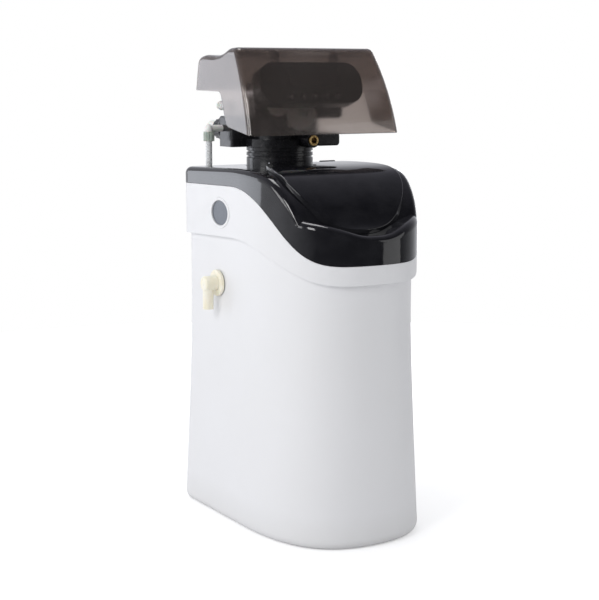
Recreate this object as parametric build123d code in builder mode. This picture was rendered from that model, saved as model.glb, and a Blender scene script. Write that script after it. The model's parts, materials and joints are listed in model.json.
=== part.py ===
from build123d import *
import os
from math import acos, cos, pi, radians, sin, tan

os.makedirs("parts", exist_ok=True)

# Compact water softener in millimetres. The origin is on the floor, at the centre of the
# cabinet's plan. X is the width, -Y the front and Z up.

# Cabinet plan, measured on the upper wall
half_width = 115.0
back_y = 173.6
front_y = -174.0
bow_start_y = -7.0
back_corner_r = 20.0
bow_fullness = 0.70

# Cabinet foot, which flares outward to the floor
flare_height = 320.0
flare_reach = 12.8
flare_power = 1.25
foot_r = 13.0
tank_wall = 5.0
tank_floor = 5.0
neck_inset = 1.0
neck_rise = 15.0
flare_levels = [0.0, 14.0, 34.0, 62.0, 100.0, 145.0, 190.0, 240.0, 285.0, flare_height]
cavity_levels = [tank_floor] + flare_levels[1:]

# Wave lines of the side view: (start y, start z, first control y, second control y, front z, rear z)
seam_wave = (13.2, 425.4, -67.8, -137.2, 372.7, 419.4)
rim_wave = (19.7, 499.9, -87.7, -113.6, 400.2, 496.2)
wave_rear_y = 180.0
wave_front_y = -176.0
wave_base_z = 330.0
seam_gap = 0.8

# White collar and black top cover
collar_proud = 7.2
collar_fit = 0.3
cover_proud = 7.6
cover_wall = 3.0
cover_round = 10.0
rim_gap = 0.6
lip_depth = 9.0
lip_wall = 2.4
deck_rear_z = 520.5
deck_knee_y = 30.0
deck_z = 525.5
deck_curve = [(-20.0, 525.2), (-47.0, 523.4), (-75.5, 517.0), (-102.5, 498.5), (-124.0, 473.0),
              (-138.5, 448.0)]
ledge_y = -153.0
ledge_z = 439.0
ledge_front_z = 441.0
shoulder_curve = [(24.0, 442.5), (43.0, 448.5), (60.0, 454.0), (80.0, 459.5), (95.0, 463.5), (108.0, 467.0)]
shoulder_middle_z = 440.5
shoulder_side = (128.0, 472.0)
shoulder_rear_y = -88.0
neck_hole_gap = 1.6

# Salt lid
lid_rear_half = 66.0
lid_rear_y = 16.0
lid_side_control = (146.7, -116.9)
lid_front_control = 57.6
lid_front_y = -147.0
lid_step = (-2.5, 5.5)
lid_seat = (-0.2, 0.5)
lid_skin = 2.4
lid_skirt = 2.2
lid_edge_r = 1.4
lid_ledge = 9.0
hinge_y = 22.0
hinge_pin_r = 1.6
hinge_barrel_r = 3.2
hinge_x = 44.0
knuckle_length = 14.0
ear_length = 5.0
hinge_clearance = 0.4

# Badge on the left of the collar
badge_y = 52.6
badge_z = 459.5
badge_half_y = 25.0
badge_half_z = 18.2
badge_rim = 4.5
badge_rim_proud = 0.9
badge_rim_edge_r = 0.7
badge_recess = 2.6
badge_plate_thick = 1.4

# Overflow fitting on the left wall
overflow_y = 70.0
overflow_z = 354.0
overflow_bore_r = 6.5
overflow_flange_r = 19.5
overflow_flange_thick = 4.5
overflow_flange_edge_r = 1.2
overflow_shank_r = 11.0
overflow_shank_length = 16.0
overflow_gasket_thick = 1.5
overflow_gasket_inset = 1.5
overflow_nut_flats = 34.0
overflow_nut_thick = 7.0
overflow_spigot_r = 8.6
overflow_spigot_length = 9.0
elbow_arm_r = 11.0
elbow_leg_x = -133.5
elbow_leg_r = 8.0
elbow_leg_bottom_z = 316.0
elbow_bore_r = 5.5
elbow_edge_r = 3.0
swivel_gap = 0.3

# Pressure vessel, a standard six inch tank
vessel_y = 86.7
vessel_r = 76.2
vessel_wall = 4.0
vessel_bottom_z = 14.0
vessel_foot_r = 30.0
vessel_shoulder_z = 430.0
vessel_knuckle_z = 78.0
vessel_neck_r = 42.0
vessel_neck_bottom_z = 492.0
vessel_neck_top_z = 546.0
vessel_bore_r = 31.5
vessel_bottom_round = 6.0
vessel_shoulder_pull = 22.0
vessel_neck_sweep = 16.0
boot_height = 40.0
resin_top_z = 385.0
resin_bottom_z = 60.0
resin_gap = 0.4

# Neck ring between vessel and valve
neck_ring_r = 50.4
neck_ring_bottom_z = 503.0
neck_top_z = 551.5
neck_groove = 2.4
neck_grooves_z = (536.0, 543.5)
neck_groove_height = 2.2
neck_ring_edge_r = 0.8
socket_fit = 0.08
running_fit = 0.06
trim_fit = 0.15

# Riser tube and distributor baskets
riser_r = 13.35
riser_wall = 2.9
riser_bottom_z = 30.0
riser_top_z = 566.0
riser_fit = 0.1
lower_basket_r = 27.0
lower_basket_height = 38.0
upper_basket_r = 29.0
upper_basket_height = 44.0
basket_slots = 12
basket_slot_width = 1.2
basket_slot_margin = 8.0
basket_wall = 2.5
basket_floor = 3.0

# Brine well, its cap, the brine valve, float and pickup tube
well_x = -60.0
well_y = -38.0
well_r = 38.0
well_wall = 2.5
well_top_z = 470.0
well_slot_top_z = 60.0
well_slot_width = 3.0
well_slot_foot = 6.0
well_slots = 8
cap_skirt = 12.0
cap_wall = 2.5
cap_fit = 0.4
cap_edge_r = 1.5
brine_valve_r = 17.0
brine_valve_bottom_z = 422.0
brine_valve_roof = 4.0
pickup_socket = 10.0
pickup_r = 6.0
pickup_bottom_z = 24.0
pickup_bore_r = 4.0
air_check_r = 12.0
air_check_height = 44.0
air_check_slots = 6
air_check_slot_width = 2.0
air_check_slot_rise = 11.0
float_rod_x = 12.0
float_rod_r = 1.6
float_r = 27.0
float_height = 34.0
float_edge_r = 5.0
float_rest_z = 296.0
float_travel = 24.0
guide_clearance = 0.6
rod_grip = 8.0
nut_reach = 8.0
strut_width = 4.0
rod_reach = 8.0

# Salt grid
grid_z = 72.0
grid_thick = 4.0
grid_gap = 2.5
grid_hole_r = 3.0
grid_pitch = 15.0
grid_columns = 13
grid_rows = 7
grid_field_y = -101.0
grid_leg_r = 7.0
grid_legs = ((70.0, -60.0), (0.0, -120.0), (40.0, -10.0))

# Brine tube from the valve down to the well
brine_tube_r = 4.75
brine_tube_wall = 1.25
tube_bends = (30.0, 28.0, 24.0)
tube_turn_back = 28.0
tube_turn_front = 22.0
tube_grip = 6.0
brine_inlet_z = 440.0
deck_tube_gap = 1.6

# Valve body, black moulded
valve_base_r = 53.0
valve_base_height = 12.0
tower_r = 42.0
piston_z = 602.0
barrel_r = 27.0
barrel_front_y = 42.0
barrel_rear_y = 140.0
bore_r = 19.0
rear_block_half = 76.0
rear_block_front_y = 98.0
rear_block_top_z = 597.0
rear_block_corner_r = 5.0
rear_block_edge_r = 3.0
port_x = 60.0
port_z = 577.0
port_bore_r = 10.0
port_depth = 30.0
duct_r = 5.0
inlet_duct_y = 122.0
outlet_duct_y = 112.0
duct_x = 10.0
duct_overlap = 2.0
spigot_r = 13.4
spigot_length = 11.0

# Port nuts, tails and clips
nut_r = 15.5
nut_length = 18.0
nut_ribs = 18
nut_rib_r = 0.9
tail_r = 12.0
tail_bore_r = 9.0
tail_hub_r = 12.6
tail_hub_end_y = 162.5
tail_end_y = 188.0
tail_flange_thick = 2.5
clip_r = 17.5
clip_thick = 2.6
clip_loop_r = 4.0
clip_mouth = 16.0
clip_loop_bore_r = 2.4
clip_gap = 1.0
nut_gap = 0.2

# Piston, seals and spacers
seal_count = 5
seal_width = 6.0
spacer_width = 10.0
piston_r = 12.0
piston_fit = 0.05
seal_bore_gap = 0.05
piston_travel = 30.0
waist_length = 10.0
waist_depth = 3.0
rod_seat = 10.0
spacer_room = 3.0
spacer_slot = 12.0
piston_length = 46.0
piston_front_gap = 3.0
piston_rest_gap = 1.0
spigot_depth = 8.0
bore_depth = spigot_depth + piston_front_gap + piston_travel + piston_length + piston_rest_gap
rod_r = 4.0
rod_front_y = 10.0
rod_edge_r = 0.8

# Drive: cap, bracket, gears and motor
cap_plate_thick = 7.0
cap_plate_r = 30.0
cap_screw_circle_r = 24.0
cap_screw_r = 2.0
cap_screw_head_r = 3.6
cap_screw_head = 2.6
cap_screw_bite = 7.5
cap_flange = 9.0
bracket_thick = 3.0
gear_module = 1.0
gear_thick = 6.0
gear_gap = 3.2
gear_addendum = 0.85
gear_dedendum = 1.25
gear_backlash = 0.34
pressure_angle = 20.0
drive_teeth = 48
idler_teeth = 36
pinion_teeth = 14
idler_direction = 158.0
pinion_direction = 140.0
hub_r = 9.0
hub_end_gap = 0.3
motor_r = 14.0
motor_length = 34.0
motor_edge_r = 1.5
motor_boss_r = 5.0
motor_boss = 3.0
motor_shaft_r = 1.5
shaft_depth = 5.0
gear_grip = 0.5
axle_end = 1.0
idler_axle_r = 2.5

# Injector cap, brass plug, drain elbow and brine elbow
injector_x = 45.5
injector_half = 19.5
injector_front_y = 20.0
injector_bottom_z = 554.0
injector_top_z = 573.0
injector_cap_thick = 9.0
injector_step = 1.0
injector_corner_r = 5.0
injector_edge_r = 2.0
nozzle_r = 3.5
nozzle_length = 18.0
nozzle_room = 6.0
nozzle_throat_r = 0.9
plug_x = 15.0
plug_z = 562.7
plug_front_y = 15.0
plug_boss_r = 10.8
plug_r = 7.9
plug_length = 16.0
plug_shank_r = 6.2
plug_head = 2.5
plug_socket_r = 5.0
plug_socket_depth = 5.5
plug_end_gap = 2.0
plug_edge_r = 0.6
drain_x = -60.0
drain_y = 128.0
drain_z = 612.0
drain_r = 7.0
drain_end_y = 166.0
drain_duct_r = 2.3
drain_bore_r = 4.0
drain_body_r = 8.5
barb_root_r = 6.0
barb_pitch = 6.0
barb_count = 3
barb_taper = 12.0
brine_port_y = 130.0
brine_port_z = 579.0
brine_port_r = 5.0
brine_bore_r = 3.0
brine_leg_r = 6.2
brine_elbow_x = -98.0
brine_nut_r = 7.4
brine_nut_ribs = 12
brine_nut_top_z = 574.0
brine_nut_bottom_z = 560.0

# Meter turbine in the outlet port
turbine_r = 9.0
turbine_length = 10.0
turbine_hub_r = 3.0
turbine_vanes = 4
vane_thick = 1.2
turbine_gap = 7.0
spindle_r = 1.2
spindle_end = 4.0

# Control head behind the smoked cover
panel_tilt = 20.0
panel_y = -6.0
panel_z = 647.0
panel_width = 172.0
panel_height = 62.0
panel_corner_r = 26.0
panel_thick = 3.0
panel_edge_r = 1.2
housing_depth = 24.0
housing_wall = 2.4
housing_edge_r = 3.0
window_x = 4.0
window_up = 9.5
window_width = 84.0
window_height = 30.0
window_corner_r = 4.0
lens_thick = 2.2
module_width = 92.0
module_height = 37.0
board_width = 140.0
board_height = 50.0
board_thick = 1.6
board_corner_r = 6.0
chip_height = 2.4
board_chips = ((-40.0, 4.0, 14.0, 14.0), (-8.0, -6.0, 10.0, 7.0), (22.0, 8.0, 12.0, 9.0))
board_depth = 9.5
post_places = ((-24.0, 652.0), (40.0, 652.0))
post_r = 6.5
bracket_left = -76.0
bracket_right = 52.0
bracket_foot_right = 76.0
bracket_foot_top_z = 630.0
bracket_bottom_z = 594.0
bracket_top_z = 662.0
bracket_corner_r = 6.0
button_names = ("menu_button", "down_button", "up_button", "set_button", "regenerate_button")
button_pitch = 20.0
button_down = -21.0
button_r = 4.5
button_flange_r = 6.0
button_flange = 1.2
button_stem_r = 2.0
button_proud = 1.4
button_edge_r = 0.5
button_travel = 1.0
button_gap = 0.25
jack_x = 74.0
jack_up = 12.0
jack_r = 5.5
jack_bore_r = 2.9
jack_length = 11.0
jack_bore_depth = 10.0
jack_flange = 2.0
jack_flange_r = 7.0
post_length = 12.0

# Smoked valve cover
bonnet_bottom_half = 128.0
bonnet_mid_half = (127.0, 124.0)
bonnet_top_half = 116.0
bonnet_foot_z = 545.0
bonnet_front_foot_y = -53.0
bonnet_front_middle = (-31.2, 623.4)
bonnet_crown_y = 10.0
bonnet_crown_z = 697.0
bonnet_top_line = ((33.0, 696.4), (53.0, 688.2), (71.0, 685.8), (106.0, 687.4))
bonnet_top_rounds = (30.0, 60.0, 80.0, 40.0)
bonnet_tail_y = 126.0
bonnet_tail_z = 684.0
bonnet_tail_foot_y = 129.0
bonnet_front_edge_z = 573.0
bonnet_edge_slope = 0.17
bonnet_notch_low_y = 22.0
bonnet_notch_high_y = 45.0
bonnet_notch_z = 634.5
bonnet_rear_edge_z = 637.5
bonnet_notch_r = 12.0
bonnet_crown_r = 12.0
bonnet_tail_r = 13.0
bonnet_side_r = 9.5
bonnet_inner_r = 7.0
bonnet_wall = 2.5
bonnet_rest_x = 50.0
bonnet_rest_width = 4.0
bonnet_rest_gap = 0.3
bonnet_block_margin = 10.0

# Reach of the cutting solids, larger than the object
span = 400.0


def front_plane(y):
    """Upright plane at a depth, facing the front, with X to the right and Z up."""
    return Plane(origin=(0, y, 0), x_dir=(1, 0, 0), z_dir=(0, -1, 0))


def side_plane(x):
    """Upright plane at a width, facing +X, with Y across and Z up."""
    return Plane.YZ.offset(x)


def axis_plane(x, y):
    """Upright plane through a vertical axis, for turned profiles."""
    return Plane(origin=(x, y, 0), x_dir=(1, 0, 0), z_dir=(0, -1, 0))


def flare(z):
    """How far the cabinet's foot stands out of the upper wall at a height."""
    if z >= flare_height:
        return 0.0
    return flare_reach * (1 - z / flare_height) ** flare_power


def plan(z, grow):
    """Cabinet plan at a height: square rounded back, straight sides, bowed front."""
    half = half_width + grow
    back = back_y + grow
    front = front_y - grow
    corner = back_corner_r + grow
    pull = bow_fullness * (bow_start_y - front)
    with BuildSketch(Plane.XY.offset(z)) as outline:
        with BuildLine():
            Line((-(half - corner), back), (half - corner, back))
            CenterArc((half - corner, back - corner), corner, 0, 90)
            Line((half, back - corner), (half, bow_start_y))
            Bezier((half, bow_start_y), (half, bow_start_y - pull), (bow_fullness * half, front), (0, front))
            Bezier((0, front), (-bow_fullness * half, front), (-half, bow_start_y - pull),
                   (-half, bow_start_y))
            Line((-half, bow_start_y), (-half, back - corner))
            CenterArc((-(half - corner), back - corner), corner, 90, 90)
        make_face()
    return outline.sketch


def under_wave(wave, rise):
    """Everything under a wave line of the side view, as a solid right across the object."""
    start_y, start_z, first_y, second_y, front_z, rear_z = wave
    slope = (rear_z - start_z) / (wave_rear_y - start_y)
    far_z = start_z + slope * (span - start_y)
    with BuildSketch(side_plane(-span)) as region:
        with BuildLine():
            Polyline((start_y, start_z + rise), (span, far_z + rise), (span, -span), (-span, -span),
                     (-span, front_z + rise), (wave_front_y, front_z + rise))
            Bezier((wave_front_y, front_z + rise), (second_y, front_z + rise),
                   (first_y, start_z + rise), (start_y, start_z + rise))
        make_face()
    return extrude(region.sketch, amount=2 * span, mode=Mode.PRIVATE)


def under_deck(shift_y, shift_z):
    """Everything under the black cover's top profile, moved by a shift in the side view."""
    slope = (deck_rear_z - deck_z) / (back_y - deck_knee_y)
    knee = (deck_knee_y + shift_y, deck_z + shift_z)
    far = (span + deck_knee_y + shift_y, deck_z + slope * span + shift_z)
    ledge_slope = (ledge_z - ledge_front_z) / (ledge_y - front_y)
    ledge = (ledge_y + shift_y, ledge_z + shift_z)
    ledge_far = (ledge_y - span + shift_y, ledge_z - ledge_slope * span + shift_z)
    curve = [(y + shift_y, z + shift_z) for y, z in deck_curve]
    with BuildSketch(side_plane(-span)) as region:
        with BuildLine():
            Polyline(knee, far, (far[0], 0), (ledge_far[0], 0), ledge_far, ledge)
            Spline(knee, *curve, ledge, tangents=[(-1, -slope), (-1, -ledge_slope)])
        make_face()
    return extrude(region.sketch, amount=2 * span, mode=Mode.PRIVATE)


def under_shoulders(rise):
    """Everything under the front shoulders, which climb from the middle to both sides."""
    side_x, side_z = shoulder_side
    right = [(x, z + rise) for x, z in shoulder_curve]
    left = [(-x, z) for x, z in reversed(right)]
    with BuildSketch(front_plane(shoulder_rear_y)) as region:
        with BuildLine():
            Spline((-side_x, side_z + rise), *left, (0, shoulder_middle_z + rise), *right,
                   (side_x, side_z + rise))
            Polyline((side_x, side_z + rise), (side_x, 0), (-side_x, 0), (-side_x, side_z + rise))
        make_face()
    return extrude(region.sketch, amount=span, mode=Mode.PRIVATE)


def cover_block(grow, drop, edge_r):
    """The top cover's outer or inner form: the plan under the deck and shoulders, rim rounded."""
    with BuildPart(mode=Mode.PRIVATE) as block:
        extrude(plan(wave_base_z, grow), amount=deck_z)
        deck = under_deck(drop * lid_step[0] / lid_step[1], drop)
        add(deck + under_shoulders(drop), mode=Mode.INTERSECT)
        walls = block.faces().filter_by(lambda f: abs(f.normal_at().Z) < 0.01)
        rim = walls.edges().filter_by(lambda e: e.center().Z > ledge_front_z + drop - cover_round)
        fillet(rim.filter_by(lambda e: e.geom_type != GeomType.LINE or abs(e.tangent_at(0.5).Z) < 0.9),
               edge_r)
    return block.part


def lid_outline(z, grow):
    """Plan of the salt lid: narrow rear, wide shoulders and a full round front."""
    rear_half = lid_rear_half + grow
    rear_y = lid_rear_y + grow
    side_x, side_y = lid_side_control
    front = lid_front_y - grow
    with BuildSketch(Plane.XY.offset(z)) as outline:
        with BuildLine():
            Line((-rear_half, rear_y), (rear_half, rear_y))
            Bezier((rear_half, rear_y), (side_x + grow, side_y), (lid_front_control, front), (0, front))
            Bezier((0, front), (-lid_front_control, front), (-side_x - grow, side_y), (-rear_half, rear_y))
        make_face()
    return outline.sketch


def gear_outline(plane, centre, teeth, phase, bore_r):
    """Spur gear with involute flanks; phase is the direction of one tooth's centre line."""
    pitch_r = gear_module * teeth / 2
    base_r = pitch_r * cos(radians(pressure_angle))
    tip_r = pitch_r + gear_addendum * gear_module
    root_r = pitch_r - gear_dedendum * gear_module
    pitch_half = pi / (2 * teeth) - gear_backlash / (4 * pitch_r)
    involute_at_pitch = tan(radians(pressure_angle)) - radians(pressure_angle)

    def half_angle(radius):
        roll = acos(min(1.0, base_r / radius))
        return pitch_half + involute_at_pitch - (tan(roll) - roll)

    flank = [max(base_r, root_r), (base_r + pitch_r) / 2, pitch_r, (pitch_r + tip_r) / 2, tip_r]
    undercut = min(1.0, root_r / base_r)
    corners = []
    for tooth in range(teeth):
        middle = radians(phase) + 2 * pi * tooth / teeth
        offsets = [(root_r, -half_angle(base_r) * undercut)]
        offsets += [(radius, -half_angle(radius)) for radius in flank]
        offsets += [(radius, half_angle(radius)) for radius in reversed(flank)]
        offsets.append((root_r, half_angle(base_r) * undercut))
        corners += [(centre[0] + radius * cos(middle + turn), centre[1] + radius * sin(middle + turn))
                    for radius, turn in offsets]
    with BuildSketch(plane) as outline:
        with BuildLine():
            Polyline(*corners, close=True)
        make_face()
        with Locations(centre):
            Circle(bore_r, mode=Mode.SUBTRACT)
    return outline.sketch


def circles(part, radius):
    """Circular edges of one radius."""
    return part.edges().filter_by(GeomType.CIRCLE).filter_by(lambda e: abs(e.radius - radius) < 0.01)


def ring(plane, centre, outer_r, inner_r):
    """Flat ring on a plane."""
    with BuildSketch(plane) as outline:
        with Locations(centre):
            Circle(outer_r)
            Circle(inner_r, mode=Mode.SUBTRACT)
    return outline.sketch


def disc(plane, centre, radius):
    """Flat disc on a plane."""
    with BuildSketch(plane) as outline:
        with Locations(centre):
            Circle(radius)
    return outline.sketch


# Cabinet: the brine tank, with a recessed neck above the seam that carries the collar
with BuildPart() as cabinet:
    loft(sections=[plan(z, flare(z)) for z in flare_levels])
    extrude(plan(flare_height, 0), amount=seam_wave[1])
    fillet(cabinet.edges().group_by(Axis.Z)[0], foot_r)
    add(under_wave(seam_wave, 0), mode=Mode.INTERSECT)
    neck = extrude(plan(wave_base_z, -neck_inset), amount=seam_wave[1], mode=Mode.PRIVATE)
    add(neck & under_wave(seam_wave, neck_rise))
    loft(sections=[plan(z, flare(z) - tank_wall) for z in cavity_levels], mode=Mode.SUBTRACT)
    extrude(plan(flare_height, -tank_wall), amount=seam_wave[1], mode=Mode.SUBTRACT)
    extrude(disc(side_plane(-half_width - tank_wall), (overflow_y, overflow_z),
                 overflow_shank_r + socket_fit),
            amount=3 * tank_wall, mode=Mode.SUBTRACT)
cabinet.part.label = "cabinet"
export_step(cabinet.part, "parts/cabinet.step")

# Collar: the white band between the seam and the black cover
with BuildPart() as collar:
    extrude(plan(wave_base_z, collar_proud), amount=deck_z - wave_base_z)
    add(under_wave(rim_wave, 0), mode=Mode.INTERSECT)
    add(under_wave(seam_wave, seam_gap), mode=Mode.SUBTRACT)
    extrude(plan(wave_base_z, collar_fit - neck_inset), amount=deck_z, mode=Mode.SUBTRACT)
    with BuildSketch(side_plane(-half_width - collar_proud)) as badge_seat:
        with Locations((badge_y, badge_z)):
            Ellipse(badge_half_y + badge_rim, badge_half_z + badge_rim)
    extrude(amount=badge_recess, mode=Mode.SUBTRACT)
collar.part.label = "collar"
export_step(collar.part, "parts/collar.step")

# Badge: a white rim round a plain plate that sits deeper
with BuildPart() as badge_ring:
    with BuildSketch(side_plane(-half_width - collar_proud + badge_recess)):
        with Locations((badge_y, badge_z)):
            Ellipse(badge_half_y + badge_rim - trim_fit, badge_half_z + badge_rim - trim_fit)
            Ellipse(badge_half_y, badge_half_z, mode=Mode.SUBTRACT)
    extrude(amount=-(badge_recess + badge_rim_proud))
    fillet(badge_ring.faces().sort_by(Axis.X)[0].edges(), badge_rim_edge_r)
badge_ring.part.label = "badge_ring"
export_step(badge_ring.part, "parts/badge_ring.step")

with BuildPart() as badge_plate:
    with BuildSketch(side_plane(-half_width - collar_proud + badge_recess)):
        with Locations((badge_y, badge_z)):
            Ellipse(badge_half_y - trim_fit, badge_half_z - trim_fit)
    extrude(amount=-badge_plate_thick)
badge_plate.part.label = "badge_plate"
export_step(badge_plate.part, "parts/badge_plate.step")

# Black top cover: deck, wave-shaped wall, salt opening, neck hole and hinge ears
barrel_z = deck_z + hinge_barrel_r + hinge_clearance
with BuildPart() as top_cover:
    add(cover_block(cover_proud, 0, cover_round))
    add(cover_block(cover_proud - cover_wall, -cover_wall, cover_round - cover_wall), mode=Mode.SUBTRACT)
    shelf = extrude(plan(wave_base_z, cover_proud - cover_wall / 2), amount=deck_z, mode=Mode.PRIVATE)
    add(shelf & under_wave(rim_wave, rim_gap + lip_wall))
    add(under_wave(rim_wave, rim_gap), mode=Mode.SUBTRACT)
    lip = extrude(plan(wave_base_z, -neck_inset), amount=deck_z, mode=Mode.PRIVATE)
    add((lip & under_wave(rim_wave, rim_gap + lip_wall / 2)) - under_wave(rim_wave, -lip_depth))
    lip_inside = extrude(plan(wave_base_z, -neck_inset - lip_wall), amount=deck_z, mode=Mode.PRIVATE)
    add(lip_inside & under_wave(rim_wave, rim_gap + lip_wall), mode=Mode.SUBTRACT)
    extrude(lid_outline(wave_base_z, -lid_ledge), amount=deck_z, mode=Mode.SUBTRACT)
    extrude(disc(Plane.XY.offset(wave_base_z), (0, vessel_y), neck_ring_r + neck_hole_gap),
            amount=deck_z, mode=Mode.SUBTRACT)
    extrude(disc(Plane.XY.offset(wave_base_z), (brine_elbow_x, brine_port_y), brine_tube_r + deck_tube_gap),
            amount=deck_z, mode=Mode.SUBTRACT)
    for side in (-1, 1):
        for end in (-1, 1):
            ear_x = side * hinge_x + end * (knuckle_length / 2 + hinge_clearance + ear_length / 2)
            with BuildSketch(side_plane(ear_x - ear_length / 2)) as ear:
                with Locations((hinge_y, barrel_z)):
                    Circle(hinge_barrel_r)
                with Locations((hinge_y, (barrel_z + deck_z - cover_wall / 2) / 2)):
                    Rectangle(2 * hinge_barrel_r, barrel_z - deck_z + cover_wall / 2)
            extrude(amount=ear_length)
    extrude(disc(side_plane(-span / 2), (hinge_y, barrel_z), hinge_pin_r), amount=span, mode=Mode.SUBTRACT)
top_cover.part.label = "top_cover"
export_step(top_cover.part, "parts/top_cover.step")

# Salt lid: a moulded skin with a skirt, and two hinge knuckles at the rear
with BuildPart() as salt_lid:
    extrude(lid_outline(wave_base_z, 0), amount=deck_z)
    add(under_deck(*lid_step), mode=Mode.INTERSECT)
    top_edges = salt_lid.edges().filter_by(lambda e: e.center().Z > lid_step[1] + ledge_z - lid_skin)
    fillet(top_edges.filter_by(lambda e: abs(e.tangent_at(0.5).Z) < 0.95), lid_edge_r)
    add(under_deck(*lid_seat), mode=Mode.SUBTRACT)
    add(under_shoulders(lid_seat[1]), mode=Mode.SUBTRACT)
    skin_share = 1 - lid_skin / lid_step[1]
    core = extrude(lid_outline(wave_base_z, -lid_skirt), amount=deck_z, mode=Mode.PRIVATE)
    add(core & under_deck(lid_step[0] * skin_share, lid_step[1] * skin_share), mode=Mode.SUBTRACT)
    for side in (-1, 1):
        with BuildSketch(side_plane(side * hinge_x - knuckle_length / 2)) as knuckle:
            with Locations((hinge_y, barrel_z)):
                Circle(hinge_barrel_r)
            with Locations(((hinge_y + lid_rear_y - lid_skirt) / 2, barrel_z + hinge_barrel_r / 4)):
                Rectangle(hinge_y - lid_rear_y + lid_skirt, hinge_barrel_r)
        extrude(amount=knuckle_length)
    extrude(disc(side_plane(-span / 2), (hinge_y, barrel_z), hinge_pin_r + running_fit),
            amount=span, mode=Mode.SUBTRACT)
salt_lid.part.label = "salt_lid"
export_step(salt_lid.part, "parts/salt_lid.step")

with BuildPart() as lid_hinge_pins:
    for side in (-1, 1):
        pin_length = knuckle_length + 2 * (hinge_clearance + ear_length)
        extrude(disc(side_plane(side * hinge_x - pin_length / 2), (hinge_y, barrel_z), hinge_pin_r),
                amount=pin_length)
lid_hinge_pins.part.label = "lid_hinge_pins"
export_step(lid_hinge_pins.part, "parts/lid_hinge_pins.step")

# Overflow: flanged fitting through the left wall, gasket, inside nut and swivelling elbow
wall_x = -half_width
flange_x = wall_x - overflow_gasket_thick
with BuildPart() as overflow_fitting:
    centre = (overflow_y, overflow_z)
    extrude(disc(side_plane(flange_x), centre, overflow_flange_r), amount=-overflow_flange_thick)
    fillet(overflow_fitting.edges().group_by(Axis.X)[0], overflow_flange_edge_r)
    extrude(disc(side_plane(flange_x), centre, overflow_shank_r), amount=overflow_shank_length)
    extrude(disc(side_plane(flange_x - overflow_flange_thick), centre, overflow_spigot_r),
            amount=-overflow_spigot_length)
    fitting_length = overflow_shank_length + overflow_flange_thick + overflow_spigot_length
    extrude(disc(side_plane(flange_x + overflow_shank_length), centre, overflow_bore_r),
            amount=-fitting_length, mode=Mode.SUBTRACT)
overflow_fitting.part.label = "overflow_fitting"
export_step(overflow_fitting.part, "parts/overflow_fitting.step")

with BuildPart() as overflow_gasket:
    extrude(ring(side_plane(flange_x), (overflow_y, overflow_z), overflow_flange_r - overflow_gasket_inset,
                 overflow_shank_r), amount=overflow_gasket_thick)
overflow_gasket.part.label = "overflow_gasket"
export_step(overflow_gasket.part, "parts/overflow_gasket.step")

with BuildPart() as overflow_nut:
    with BuildSketch(side_plane(wall_x + tank_wall)) as hexagon:
        with Locations((overflow_y, overflow_z)):
            RegularPolygon(overflow_nut_flats / 2, 6, major_radius=False)
            Circle(overflow_shank_r, mode=Mode.SUBTRACT)
    extrude(amount=overflow_nut_thick)
overflow_nut.part.label = "overflow_nut"
export_step(overflow_nut.part, "parts/overflow_nut.step")

elbow_face_x = flange_x - overflow_flange_thick - swivel_gap
with BuildPart() as overflow_elbow:
    extrude(disc(side_plane(elbow_face_x), (overflow_y, overflow_z), elbow_arm_r),
            amount=elbow_leg_x - elbow_leg_r - elbow_face_x)
    fillet(overflow_elbow.edges().group_by(Axis.X)[0], elbow_edge_r)
    extrude(disc(Plane.XY.offset(overflow_z), (elbow_leg_x, overflow_y), elbow_leg_r),
            amount=elbow_leg_bottom_z - overflow_z)
    extrude(disc(side_plane(elbow_face_x), (overflow_y, overflow_z), overflow_spigot_r + running_fit),
            amount=-overflow_spigot_length, mode=Mode.SUBTRACT)
    extrude(disc(side_plane(elbow_face_x), (overflow_y, overflow_z), elbow_bore_r),
            amount=elbow_leg_x - elbow_face_x, mode=Mode.SUBTRACT)
    extrude(disc(Plane.XY.offset(overflow_z), (elbow_leg_x, overflow_y), elbow_bore_r),
            amount=elbow_leg_bottom_z - overflow_z, mode=Mode.SUBTRACT)
overflow_elbow.part.label = "overflow_elbow"
export_step(overflow_elbow.part, "parts/overflow_elbow.step")

# Pressure vessel: domed ends and a threaded neck, turned about its own axis
vessel_axis = Axis((0, vessel_y, 0), (0, 0, 1))


def vessel_half(inset):
    """Half section of the vessel, moved in by its wall for the inside."""
    outer = vessel_r - inset
    bottom = vessel_bottom_z + inset
    neck_r = vessel_neck_r if inset == 0 else vessel_bore_r
    neck_z = vessel_neck_bottom_z - inset
    top = vessel_neck_top_z + inset
    with BuildSketch(axis_plane(0, vessel_y)) as section:
        with BuildLine():
            Polyline((neck_r, neck_z), (neck_r, top), (0, top), (0, bottom), (vessel_foot_r, bottom))
            Bezier((vessel_foot_r, bottom), (outer, bottom + vessel_bottom_round),
                   (outer, vessel_knuckle_z / 2),
                   (outer, vessel_knuckle_z))
            Line((outer, vessel_knuckle_z), (outer, vessel_shoulder_z))
            Bezier((outer, vessel_shoulder_z), (outer, neck_z - vessel_shoulder_pull),
                   (neck_r + vessel_neck_sweep, neck_z), (neck_r, neck_z))
        make_face()
    return section.sketch


with BuildPart() as vessel:
    revolve(vessel_half(0), axis=vessel_axis)
    revolve(vessel_half(vessel_wall), axis=vessel_axis, mode=Mode.SUBTRACT)
vessel.part.label = "vessel"
export_step(vessel.part, "parts/vessel.step")

# Boot: the ring that the vessel's domed bottom stands in, on the cabinet's floor
with BuildPart() as vessel_boot:
    with BuildSketch(axis_plane(0, vessel_y)):
        with BuildLine():
            Polyline((vessel_foot_r, tank_floor), (vessel_r, tank_floor),
                     (vessel_r, tank_floor + boot_height),
                     (vessel_foot_r, tank_floor + boot_height), close=True)
        make_face()
    revolve(axis=vessel_axis)
    revolve(vessel_half(0), axis=vessel_axis, mode=Mode.SUBTRACT)
vessel_boot.part.label = "vessel_boot"
export_step(vessel_boot.part, "parts/vessel_boot.step")

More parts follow.
